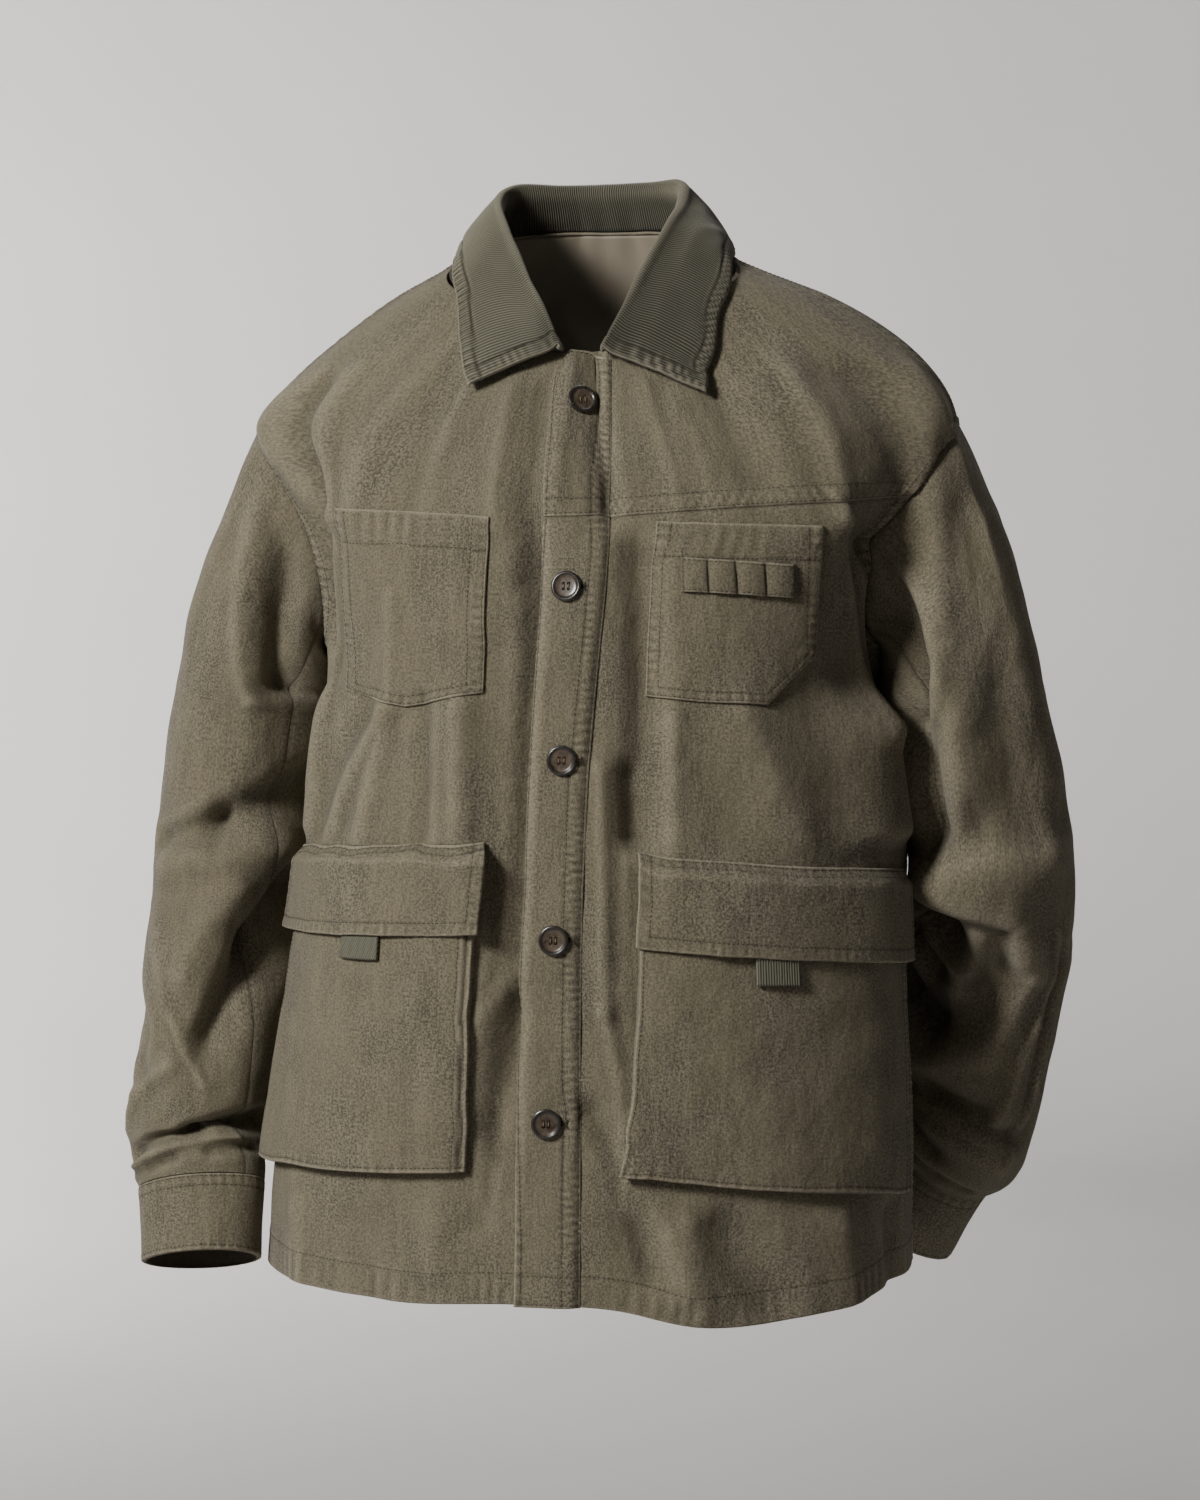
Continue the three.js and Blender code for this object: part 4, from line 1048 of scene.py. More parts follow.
def back_panel():
    rows = panel_rows(0, TORSO_ROWS)
    ends = (0.8, 1.8, 3.4, 6, 8.6, 10, 12.5)
    u = steps(540, 4.6, ends, ends)
    cloth = body_piece(back_places(rows, u))
    row = np.broadcast_to(rows[:, None], cloth.relief.shape)
    shoulder = 1 - smoothstep(3.6, 4.0, row)
    for side, seed in (("left", 1.0), ("right", 2.0)):
        cloth.band(side, 9.5, 1.2, 1 - shoulder)
        cloth.edge(side, 1.4, 0.6, 1 - shoulder)
        cloth.pucker(side, 9, 0.35, seed, 1 - shoulder, 9)
        cloth.seam(side, 0.9, 2.5, shoulder)
        cloth.topstitch(side, 1.9, part=(4.3 / TORSO_ROWS, 1), dip=0)
        cloth.topstitch(side, 8.3, part=(4.3 / TORSO_ROWS, 1), dip=0)
    cloth.edge("bottom", 1.3, 0.5)
    cloth.pucker("bottom", 20, 0.3, 3.0, pitch=11)
    cloth.relief += 0.5 * (1 - smoothstep(HEM_TURN - 1, HEM_TURN + 1.5, cloth.off["bottom"]))
    cloth.topstitch("bottom", HEM_TURN - 2, trim=(4, 4))
    hem = 1 - smoothstep(HEM_TURN - 1, HEM_TURN + 1, cloth.off["bottom"])
    return make_cloth("back_panel", cloth, mix(CLOTH, DOUBLED, hem), node="back", held="hung",
                      flat=(0.66, 0.76), area=0.42, rests_on=["collar"])


def back_facing():
    rows = np.linspace(0, 4, 44)
    u = np.linspace(3 / 18, 15 / 18, 90)
    cloth = body_piece(back_places(rows, u), -CLOTH - LAID_GAP)
    cloth.relief += 0.4 * mottle(cloth.chart[..., 0], cloth.chart[..., 1], 34, 9)
    return make_cloth("back_neck_facing", cloth, FACING_CLOTH, FACING, node="back_facing", slot="facing",
                      held="laid", flat=(0.36, 0.16), area=0.045, rests_on=["back_panel"])


# ---- Sleeves and cuffs ----


def arm_frame(arm, place):
    rows = dict(ARMS[arm], place=np.arange(len(ARMS[arm]["x"]), dtype=float))
    value = lambda key, at: smooth(rows, "place", key, at)
    centre = lambda at: np.stack([value("x", at), value("y", at), value("z", at)], -1)
    axis = unit(centre(place + 0.05) - centre(place - 0.05))
    outward = np.zeros_like(axis)
    outward[..., 0] = 1 if arm == "left" else -1
    outward = unit(outward - axis * (outward * axis).sum(-1, keepdims=True))
    spin = np.radians(-value("turn", place))[..., None]
    outward = outward * np.cos(spin) + np.cross(axis, outward) * np.sin(spin)
    forward = np.cross(outward, axis)
    forward = forward * np.where(forward[..., 1:2] > 0, -1, 1)
    return centre(place), axis, outward, forward, value("width", place), value("depth", place)


def arm_section(arm, place, turn):
    centre, axis, outward, forward, width, depth = arm_frame(arm, place)
    around = 2 * math.pi * turn
    across = outward * (width * np.cos(around))[..., None]
    deep = forward * (depth * np.sin(around))[..., None]
    return centre + across + deep, axis


def sleeve_form(arm, turn, along):
    """The sleeve from the armhole (0) to the cuff seam (1)"""
    side, head = (1 if arm == "left" else -1), SLEEVE["head"]
    low = arm_section(arm, np.maximum(CUFF_TOP * (along - head) / (1 - head), 0), turn)[0]
    angle, height = armhole(side, turn)
    start = body_cloth(angle, height)
    middle = body_cloth(np.array([side * ARMHOLE["angle"]]), np.array([float(ARMHOLE["middle"])]))[0]
    start = start + unit(middle - start) * SEAM_GAP / 2
    first, axis = arm_section(arm, np.zeros_like(turn), turn)
    span = np.linalg.norm(first - start, axis=-1, keepdims=True)
    under = (1 - np.cos(2 * math.pi * turn)) / 2
    leave = np.stack([side * mix(SLEEVE_LEAVE[arm], 1.1, under), 0 * under, 0 * under - 0.8], -1)
    leave = unit(leave) * span * 0.9
    t = (np.maximum(along, 0) / head)[..., None]
    top = hermite(start, leave, first, axis * span * 0.9, t)
    return np.where(along[..., None] >= head, low, top)


ARM_LINES = {arm: in_mm(folds, ("turn", "toTurn"), ("along", "toAlong"), SLEEVE["girth"], SLEEVE["length"])
             for arm, folds in ARM_FOLDS.items()}


def sleeve_normal(surface, arm, turn, along):
    nudge = 0.004
    low, high = np.maximum(along - nudge, 0), np.minimum(along + nudge, 1)
    around = surface(arm, turn + nudge, along) - surface(arm, turn - nudge, along)
    down = surface(arm, turn, high) - surface(arm, turn, low)
    normal = unit(np.cross(around, down))
    return normal if arm == "left" else -normal


def sleeve_cloth(arm, turn, along):
    across, down = turn * SLEEVE["girth"], along * SLEEVE["length"]
    depth = fold_field(ARM_LINES[arm], across, down, SLEEVE["girth"])
    seed = 11 if arm == "left" else 15
    depth = depth + 1.9 * mottle(across, down * 0.8, 46, seed, SLEEVE["girth"])
    depth = depth + 1.2 * mottle(across, down, 23, seed + 1, SLEEVE["girth"])
    depth = depth + 0.28 * mottle(across, down, 11, seed + 2, SLEEVE["girth"])
    fade = smoothstep(0, 0.1, along) * (1 - smoothstep(0.97, 1, along))
    normal = sleeve_normal(sleeve_form, arm, turn, along)
    return sleeve_form(arm, turn, along) + normal * (depth * fade)[..., None]


def sleeve_piece(name, node, arm, first, last, flat, area):
    width = (last - first) / 20 * SLEEVE["girth"]
    ends = (0.8, 1.8, 3.4, 6, 8.6, 10, 12.5)
    u = steps(width, 3.4, ends, ends if last == 8 else (1, 2.5))
    v = steps(SLEEVE["length"], 3.4, (0.8, 1.8, 3.4), (0.8, 2))
    turn, along = np.meshgrid(mix(first, last, u) / 20, v)
    points = sleeve_cloth(arm, turn, along)
    normals = sleeve_normal(sleeve_cloth, arm, turn, along)
    chart = np.stack([turn * SLEEVE["girth"], along * SLEEVE["length"]], -1)
    cloth = Cloth(points, normals, chart)
    cloth.seam("top", 0.8, 2.6)
    if last == 8:
        cloth.band("left", 9.5, 0.7)
        cloth.edge("left", 1.3, 0.6)
        cloth.pucker("left", 9, 0.3, 4.0, pitch=9)
        cloth.topstitch("left", 1.9)
        cloth.topstitch("left", 8.3)
        cloth.seam("right", 0.5, 2)
    else:
        cloth.seam("left", 0.5, 2)
        cloth.seam("right", 0.7, 2)
    return make_cloth(name, cloth, CLOTH, node=node, held="hung", flat=flat, area=area,
                      rests_on=["back_panel"])


def cuff(name, node, arm):
    last = len(ARMS[arm]["x"]) - 1
    v = steps(56, 2.2, (0.6, 1.4, 2.4), (0.6, 1.4, 2.4))
    turn, share = np.meshgrid(np.arange(132) / 132, v)
    place = mix(CUFF_TOP + 0.01, last, share)
    point = arm_section(arm, place, turn)[0]
    middle = (arm_section(arm, place, turn + 0.5)[0] + point) / 2
    normals = unit(point - middle)
    chart = np.stack([turn * 262, share * 56], -1)
    cloth = Cloth(point, normals, chart)
    around = turn * 262
    cloth.relief += 1.1 * np.sin(around / 262 * 2 * math.pi * 3 + 0.8 + 0.012 * cloth.off["top"]) * 0.5
    cloth.relief += 1.0 * mottle(around, cloth.off["top"], 29, 21, 262)
    cloth.relief += 0.9
    cloth.edge("top", 1.2, 0.8)
    cloth.edge("bottom", 1.3, 0.8)
    cloth.pucker("top", 9, 0.3, 1.0, pitch=262 / 34)
    cloth.pucker("bottom", 6, 0.3, 2.0, pitch=262 / 34)
    cloth.topstitch("top", 1.8, trim=(0, 0))
    cloth.topstitch("top", 8.5, trim=(0, 0))
    cloth.topstitch("bottom", 3.2, trim=(0, 0))
    return make_cloth(name, cloth, DOUBLED, node=node, tube=True, held="folded",
                      flat=(0.262, 0.056), rests_on=[name.replace("cuff", "sleeve_top")])


# ---- Collar ----


def collar_section(station):
    rows = dict(COLLAR, station=np.arange(len(COLLAR["neck"]), dtype=float))
    value = lambda key: smooth(rows, "station", key, station)
    neck_angle = value("neck")
    neck = on_body(neck_angle, neck_height(neck_angle) + COLLAR_GAP, np.full(station.shape, -CLOTH / 2))
    fold = np.stack([value("foldX"), value("foldY"), value("foldZ")], -1)
    edge = on_body(value("edge"), value("height"), value("lift") + CORD_CLOTH / 2)
    up = np.array([0, 0, 1.0])
    rise = fold - neck
    out = edge - fold
    out[..., 2] = 0
    out = unit(out)
    roll = (COLLAR_ROLL * smoothstep(4, 30, np.linalg.norm(rise, axis=-1)) + 0.5)[..., None]
    inside = fold - out * roll * 0.6 - up * roll
    outside = fold + out * roll * 1.1 - up * roll * 0.9
    leaf = edge - outside
    flat = np.linalg.norm(leaf[..., :2], axis=-1, keepdims=True)
    away = unit(out * -leaf[..., 2:] + up * flat)

    bulge = (LEAF_BULGE * smoothstep(0, 1.5, np.minimum(station, 14 - station)))[..., None]

    def leaf_point(t):
        return outside + leaf * t + away * bulge * math.sin(math.pi * t) ** 0.8

    stand = mix(neck, inside, 0.5) - out
    return np.stack([neck, stand, inside, fold, outside, leaf_point(0.3), leaf_point(0.65), edge], -2)


def through(points, counts):
    """Smooth curves through the points of each section, with a number of steps between them"""
    run = np.concatenate([np.zeros((len(points), 1)),
                          np.cumsum(np.linalg.norm(np.diff(points, axis=1), axis=2), axis=1)], 1)
    gaps = np.diff(run, axis=1)[..., None]
    climb = np.diff(points, axis=1) / gaps
    slope = np.concatenate([
        climb[:, :1],
        (climb[:, :-1] * gaps[:, 1:] + climb[:, 1:] * gaps[:, :-1]) / (gaps[:, 1:] + gaps[:, :-1]),
        climb[:, -1:],
    ], 1)
    made = []
    for k, count in enumerate(counts):
        for t in np.arange(count) / count:
            made.append(hermite(points[:, k], slope[:, k] * gaps[:, k], points[:, k + 1],
                                slope[:, k + 1] * gaps[:, k], t))
    made.append(points[:, -1])
    return np.stack(made, 1)


def collar():
    rough = np.linspace(0, 14, 400)
    reference = collar_section(rough)[:, 5]
    run = np.concatenate([[0], np.cumsum(np.linalg.norm(np.diff(reference, axis=0), axis=1))])
    per_wale = 4
    wales = round(run[-1] / WALE)
    phase = np.arange(wales * per_wale + 1)
    station = np.interp(phase * run[-1] / phase[-1], run, rough)
    middle = through(collar_section(station), (5, 5, 3, 3, 6, 8, 9))
    normals = unit(np.cross(np.gradient(middle, axis=0), np.gradient(middle, axis=1)))
    across = run_length(middle, 1)
    chart = np.stack([across, np.broadcast_to((phase / per_wale * WALE)[:, None], across.shape)], -1)
    cloth = Cloth(middle, normals, chart)
    wave = np.cos(2 * math.pi * phase / per_wale)[:, None] * np.ones_like(across)
    fade = 1 - 0.35 * np.exp(-(cloth.off["right"] / 1.5) ** 2)
    cloth.relief += 0.5 * wave * fade
    from_rim = smoothstep(2, 20, cloth.off["right"])
    cloth.relief += 0.8 * mottle(across * 2, cloth.run["left"], 31, 33) * from_rim
    # painted shade in the wale grooves and on the stand inside the fold
    cloth.shade += 0.5 - 0.5 * wave + 0.3 * (1 - smoothstep(20, 34, cloth.off["left"]))
    # painted shade: a darker tone on the stand and the left leaf, whose form alone stays too light
    cloth.shade += (0.12 * smoothstep(3, 6, station) + 0.36 * smoothstep(8.5, 10.5, station))[:, None]
    cloth.edge("right", 1.6, 0.55)
    cloth.edge("top", 1.4, 0.4)
    cloth.edge("bottom", 1.4, 0.4)
    cloth.pucker("right", 10, 0.75, 1.0, pitch=5.6)
    cloth.pucker("top", 10, 0.6, 2.0, pitch=5.6)
    cloth.pucker("bottom", 10, 0.6, 3.0, pitch=5.6)
    cloth.topstitch("right", 2.2, trim=(3, 3), dip=0.4)
    cloth.topstitch("right", 10.8, trim=(10, 10), dip=0.9)
    cloth.topstitch("top", 10.5, trim=(40, 10), dip=0.9)
    cloth.topstitch("bottom", 10.5, trim=(40, 10), dip=0.9)
    cloth.relief += CORD_CLOTH / 2
    return make_cloth("corduroy_collar", cloth, CORD_CLOTH, CORDUROY, node="collar", slot="corduroy",
                      held="folded", flat=(0.52, 0.115), rests_on=["back_panel"])


# ---- Pieces laid on the fronts ----

EDGE_STEPS = (0.6, 1.3, 2.2, 3.4, 5.2, 7.4, 9.4, 11.6)


def laid_piece(edges, width, height, pitch, lift):
    u = steps(width, pitch, EDGE_STEPS, EDGE_STEPS)
    v = steps(height, pitch, EDGE_STEPS, EDGE_STEPS)
    places = patch(edges["top"], edges["bottom"], edges["left"], edges["right"], u, v)
    raised = lift(*np.meshgrid(u, v)) if callable(lift) else lift
    return body_piece(places, raised)


CHEST_POCKETS = {
    "right": {
        "top": line([-57.9, -201.5], [-20.3, -208]),
        "left": line([-57.9, -201.5], [-57.1, -328.8]),
        "right": line([-20.3, -208], [-20.3, -328.5]),
        "bottom": line([-57.1, -328.8], [-39.1, -339], [-20.3, -328.5]),
    },
    "left": {
        "top": line([24.6, -211], [56.6, -214]),
        "left": line([24.6, -211], [21.8, -330.5]),
        "right": line([56.6, -214], [58.8, -303]),
        "bottom": line([21.8, -330.5], [34, -334], [46.9, -336.5], [58.8, -303]),
    },
}


def chest_pocket(side):
    cloth = laid_piece(CHEST_POCKETS[side], 128, 125, 2.6, LAID_GAP + CLOTH)
    cloth.relief += 0.9 * mottle(cloth.off["left"], cloth.off["top"] * 0.7, 34, 41 if side == "left" else 43)
    for edge, seed in (("left", 1.0), ("right", 2.0), ("bottom", 3.0)):
        cloth.edge(edge, 1.1, 0.9)
        cloth.pucker(edge, 9, 0.28, seed, pitch=8)
    cloth.edge("top", 1.1, 1.0)
    cloth.pucker("top", 22, 0.25, 4.0, pitch=12)
    cloth.topstitch("top", 24, trim=(2, 2))
    inset = 12.5 if side == "right" else 10.5
    for edge in ("left", "right"):
        cloth.topstitch(edge, 1.8)
        cloth.topstitch(edge, inset, trim=(2, 7))
    cloth.topstitch("bottom", 1.8)
    cloth.topstitch("bottom", 7, trim=(11, 11))
    return make_cloth(f"{side}_chest_pocket", cloth, CLOTH, node=f"chest_pocket_{side}", held="laid",
                      flat=(0.13, 0.14), area=0.0152, rests_on=[f"front_{side}_panel"])


def pen_loops():
    edges = {
        "top": line([29.8, -236], [51.9, -240]),
        "bottom": line([29.5, -259.1], [52.4, -262.7]),
        "left": line([29.8, -236], [29.5, -259.1]),
        "right": line([51.9, -240], [52.4, -262.7]),
    }
    count = 4
    sewn = LAID_GAP + 2 * CLOTH + 0.8

    def lift(u, v):
        puff = np.clip(np.abs(np.sin(math.pi * (count * u) ** 1.0)), 0, 1) ** 0.4
        return sewn + 3.2 * puff * (0.7 + 0.3 * np.sin(math.pi * v))

    u = np.linspace(0, 1, 97)
    v = steps(23, 1.6, (0.5, 1.2, 2.2), (0.5, 1.2, 2.2))
    cloth = body_piece(patch(edges["top"], edges["bottom"], edges["left"], edges["right"], u, v),
                       lift(*np.meshgrid(u, v)))
    cloth.edge("top", 0.9, 0.9)
    cloth.edge("bottom", 0.9, 0.9)
    cloth.topstitch("top", 1.6)
    cloth.topstitch("bottom", 1.6)
    # painted shade in the hollows where the band is tacked down between the loops
    tack = np.abs(np.sin(math.pi * count * u))[None, :]
    cloth.shade += np.exp(-(tack / 0.22) ** 2) * np.ones_like(cloth.relief)
    cloth.edge("left", 0.9, 0.9)
    cloth.edge("right", 0.9, 0.9)
    cloth.topstitch("left", 2.0)
    cloth.topstitch("right", 2.0)
    return make_cloth("pen_loop_band", cloth, CLOTH, node="pen_loops", held="laid",
                      flat=(0.1, 0.024), rests_on=["left_chest_pocket"])


BELLOWS = {
    "right": {
        "stand": (2, 8, 9, 8),
        "pocket": ([-72, -456], [-19.5, -447], [-79, -668], [-21.4, -657.5]),
        "flap": ([-72, -440], [-19, -431], [-77, -502], [-19.3, -494]),
        "tab": ([-49, -470], [-40, -470], [-49, -514], [-40, -513]),
    },
    "left": {
        "stand": (6, 2, 7, 7),
        "pocket": ([20, -454], [80, -470], [15.3, -656.5], [79.5, -683]),
        "flap": ([19, -438], [82, -455], [17.4, -501], [82, -520]),
        "tab": ([42.1, -490], [50.4, -492], [42.1, -527], [50.4, -528]),
    },
}


def four_edges(corners):
    top_left, top_right, bottom_left, bottom_right = corners
    return {"top": line(top_left, top_right), "bottom": line(bottom_left, bottom_right),
            "left": line(top_left, bottom_left), "right": line(top_right, bottom_right)}


def pocket_face(bellows, angle, height):
    """How far a bellows pocket's outer face lies from the front"""
    pocket, stand = bellows["pocket"], bellows["stand"]
    across = np.clip((angle - pocket[2][0]) / (pocket[3][0] - pocket[2][0]), 0, 1)
    down = np.clip((height - pocket[1][1]) / (pocket[2][1] - pocket[1][1]), 0, 1)
    corners = mix(mix(stand[0], stand[1], across), mix(stand[2], stand[3], across), down)
    return LAID_GAP + corners + CLOTH


def bellows_pocket(side):
    bellows = BELLOWS[side]
    edges = four_edges(bellows["pocket"])
    width = abs(bellows["pocket"][1][0] - bellows["pocket"][0][0]) * MM_PER_DEGREE
    height = bellows["pocket"][0][1] - bellows["pocket"][2][1]
    rim = (0.5, 1.0, 1.6, 2.4, 3.4, 5.2, 7.4, 9.4, 11.6, 13.6)
    u, v = steps(width, 3.0, rim, rim), steps(height, 3.0, (2, 5), rim)
    places = patch(edges["top"], edges["bottom"], edges["left"], edges["right"], u, v)
    face = pocket_face(bellows, *places)
    cloth = body_piece(places, face)
    sewn = LAID_GAP + CLOTH * 0.5 + SEAM_GAP
    near = np.minimum(np.minimum(cloth.off["left"], cloth.off["right"]), cloth.off["bottom"])
    wall = np.sqrt(np.clip(near / 1.6, 0, 1) * (2 - np.clip(near / 1.6, 0, 1)))
    cloth.relief -= (face - sewn) * (1 - wall)
    pleat_side = "right" if side == "right" else "left"
    if side == "right":
        d = cloth.off[pleat_side]
        cloth.relief -= 2.6 * (1 - smoothstep(6.2, 7.6, d)) + 1.8 * np.exp(-((d - 5.2) / 1.0) ** 2)
        # painted shade in the pleat's groove
        cloth.shade += 0.9 * np.exp(-((d - 5.4) / 1.2) ** 2)
        cloth.wear += 0.7 * np.exp(-((d - 8.0) / 0.9) ** 2)
    # painted shade along the foot of the pocket's walls
    cloth.shade += 0.5 * np.exp(-(near / 0.9) ** 2)
    cloth.wear += 0.75 * np.exp(-((near - 1.7) / 1.1) ** 2)
    cloth.relief += 1.7 * mottle(cloth.off["left"], cloth.off["top"] * 0.55, 52, 51 if side == "left" else 55)
    cloth.relief += 0.8 * mottle(cloth.off["left"], cloth.off["top"], 24, 52 if side == "left" else 56)
    cloth.pucker("bottom", 8, 0.3, 1.0, pitch=9)
    cloth.topstitch("bottom", 4.4, trim=(3, 3))
    outer_side, centre_side = ("left", "right") if side == "right" else ("right", "left")
    cloth.topstitch(outer_side, 3.6, trim=(3, 5))
    if side == "left":
        cloth.topstitch(outer_side, 13, trim=(3, 5))
        cloth.pucker(outer_side, 12, 0.3, 2.0, pitch=9)
        cloth.topstitch(centre_side, 3.6, trim=(3, 5))
    else:
        cloth.topstitch(centre_side, 10.5, trim=(3, 5))
    return make_cloth(f"{side}_bellows_pocket", cloth, CLOTH, node=f"lower_pocket_{side}", held="laid",
                      flat=((width + 36) * MM, (height + 18) * MM), rests_on=[f"front_{side}_panel"])


def pocket_flap(side):
    bellows = BELLOWS[side]
    edges = four_edges(bellows["flap"])
    width = abs(bellows["flap"][1][0] - bellows["flap"][0][0]) * MM_PER_DEGREE
    u, v = steps(width, 2.6, EDGE_STEPS, EDGE_STEPS), steps(64, 2.6, EDGE_STEPS, EDGE_STEPS)
    places = patch(edges["top"], edges["bottom"], edges["left"], edges["right"], u, v)
    high = pocket_face(bellows, *places) + CLOTH + 4 * SEAM_GAP
    share = np.broadcast_to(v[:, None], high.shape)
    lift = mix(LAID_GAP, high, smoothstep(0, 0.2, share)) + DOUBLED
    cloth = body_piece(places, lift)
    seed = 61 if side == "left" else 65
    cloth.relief += 1.6 * mottle(cloth.off["left"], cloth.off["top"] * 0.4, 44, seed) * share
    cloth.relief += 1.6 * share**2 * np.sin(cloth.off["left"] / 23 + seed)
    for edge, shift in (("left", 1.0), ("right", 2.0), ("bottom", 3.0), ("top", 4.0)):
        cloth.edge(edge, 1.3, 0.9)
        cloth.pucker(edge, 9, 0.3, shift, pitch=8)
    cloth.topstitch("bottom", 9, trim=(9, 9))
    cloth.topstitch("left", 9, trim=(3, 9))
    cloth.topstitch("right", 9, trim=(3, 9))
    cloth.topstitch("top", 1.9)
    cloth.topstitch("top", 7.6, trim=(2, 2))
    return make_cloth(f"{side}_pocket_flap", cloth, DOUBLED, node=f"flap_{side}", held="laid",
                      flat=((width + 6) * MM, 0.076), rests_on=[f"{side}_bellows_pocket"])


def webbing_tab(side):
    bellows = BELLOWS[side]
    edges = four_edges(bellows["tab"])
    u, v = np.linspace(0, 1, 61), np.linspace(0, 1, 41)
    places = patch(edges["top"], edges["bottom"], edges["left"], edges["right"], u, v)
    lift = pocket_face(bellows, *places) + SEAM_GAP + CLOTH + 1.2
    cloth = body_piece(places, lift)
    rib = np.cos(2 * math.pi * (cloth.off["left"] + cloth.off["top"] * (0.5 if side == "right" else 0)) / 1.9)
    cloth.relief += 0.3 * rib + 1.6 * np.broadcast_to(v[:, None], rib.shape) ** 2
    # painted shade in the grooves between the ribs
    cloth.shade += np.clip(-rib, 0, 1)
    for edge in ("left", "right", "bottom"):
        cloth.edge(edge, 1.0, 0.0)
    return make_cloth(f"{side}_webbing_tab", cloth, CLOTH + 0.8, WEBBING, node=f"tab_{side}", slot="webbing",
                      held="folded", flat=(0.031, 0.055), rests_on=[f"{side}_bellows_pocket"])


# ---- Placket, buttons and buttonholes ----


def placket_strip(name, node, start, end, upper):
    edge = lambda v: (placket_at("edge", mix(start, end, v)), mix(start, end, v))
    seam = lambda v: (placket_at("seam", mix(start, end, v)), mix(start, end, v))
    ends = [(float(edge(np.array([t]))[0][0]), float(seam(np.array([t]))[0][0])) for t in (0.0, 1.0)]
    edges = {"left": edge, "right": seam,
             "top": line([ends[0][0], start], [ends[0][1], start]),
             "bottom": line([ends[1][0], end], [ends[1][1], end])}
    if upper:
        cut = [float(placket_at("edge", -113.0)), -113.0]
        neck_end = [ends[0][1], start - 6]
        edges["top"] = line(cut, [-3.5, start], [5, start - 0.5], neck_end)
        edges["left"] = line(cut, [ends[1][0], end])
        edges["right"] = line(neck_end, [ends[1][1], end])
    cloth = laid_piece(edges, 50, start - end, 2.8, LAID_GAP + DOUBLED)
    cloth.relief += 0.8 * mottle(cloth.off["left"] * 1.5, cloth.chart[..., 1], 33, 71)
    sewn = smoothstep(0, 8, cloth.off["right"])
    cloth.relief -= 2.6 * (1 - sewn)
    cloth.edge("left", 1.4, 1.0)
    cloth.seam("right", 0.3, 1.0)
    cloth.pucker("left", 6, 0.32, 1.0, pitch=9)
    cloth.pucker("right", 13, 0.6, 2.0, pitch=6.4)
    cloth.topstitch("left", 4.6, trim=(3, 3), dip=0.5)
    cloth.topstitch("right", 1.8, dip=0.6)
    cloth.topstitch("right", 12.5, dip=0.6)
    if upper:
        cloth.edge("top", 1.4, 1.0)
        cloth.topstitch("top", 2.2, trim=(2, 4))
        cloth.topstitch("bottom", 1.9, trim=(3, 3))
        cloth.topstitch("bottom", 12.5, trim=(3, 3))
        cloth.edge("bottom", 0.9, 0.6)
    else:
        cloth.seam("top", 0.8, 1.8)
        cloth.edge("bottom", 1.3, 0.8)
        cloth.topstitch("bottom", HEM_TURN - 2, trim=(2, 2))
        cloth.topstitch("bottom", 2.4, trim=(2, 2))
    return make_cloth(name, cloth, mix(0.8, DOUBLED, sewn), node=node, held="folded",
                      flat=(0.052, (start - end) * MM), rests_on=["front_right_panel"])


def lathe(profile, turns):
    """A solid of revolution from (radius, height) points that start and end on the axis"""
    rings = [p for p in profile if p[0] > 0]
    points = [(0, 0, profile[0][1])]
    for radius, height in rings:
        for k in range(turns):
            around = 2 * math.pi * k / turns
            points.append((radius * math.cos(around), radius * math.sin(around), height))
    points.append((0, 0, profile[-1][1]))
    faces, last = [], len(points) - 1
    for k in range(turns):
        after = (k + 1) % turns
        faces.append([0, 1 + after, 1 + k])
        for ring in range(len(rings) - 1):
            a, b = 1 + ring * turns, 1 + (ring + 1) * turns
            faces.append([a + k, a + after, b + after, b + k])
        faces.append([last, last - turns + k, last - turns + after])
    return np.array(points, float), faces


def cut_holes(disc, holes):
    """Cuts small round holes through a disc"""
    for at in holes:
        drill = lathe([(0, -3), (BUTTON["hole"], -3), (BUTTON["hole"], 8), (0, 8)], 16)
        tool = mesh_piece("drill", drill[0] + np.array([at[0], at[1], 0]), drill[1], HORN)
        cut = disc.modifiers.new("hole", "BOOLEAN")
        cut.operation, cut.solver, cut.object = "DIFFERENCE", "EXACT", tool
        whole = disc.evaluated_get(bpy.context.evaluated_depsgraph_get())
        made = bpy.data.meshes.new_from_object(whole)
        disc.modifiers.clear()
        disc.data = made
        bpy.data.objects.remove(tool)
    return disc


def button_frame(angle, height, out):
    angle, height = np.array([angle]), np.array([height])
    seat = on_body(angle, height, np.array([out]))[0]
    away = body_normal(angle, height)[0]
    right = unit(np.cross(np.array([0, 0, 1.0]), away))
    return seat, right, np.cross(away, right), away


def place_points(points, seat, right, up, away):
    return seat + points[:, :1] * right + points[:, 1:2] * up + points[:, 2:] * away


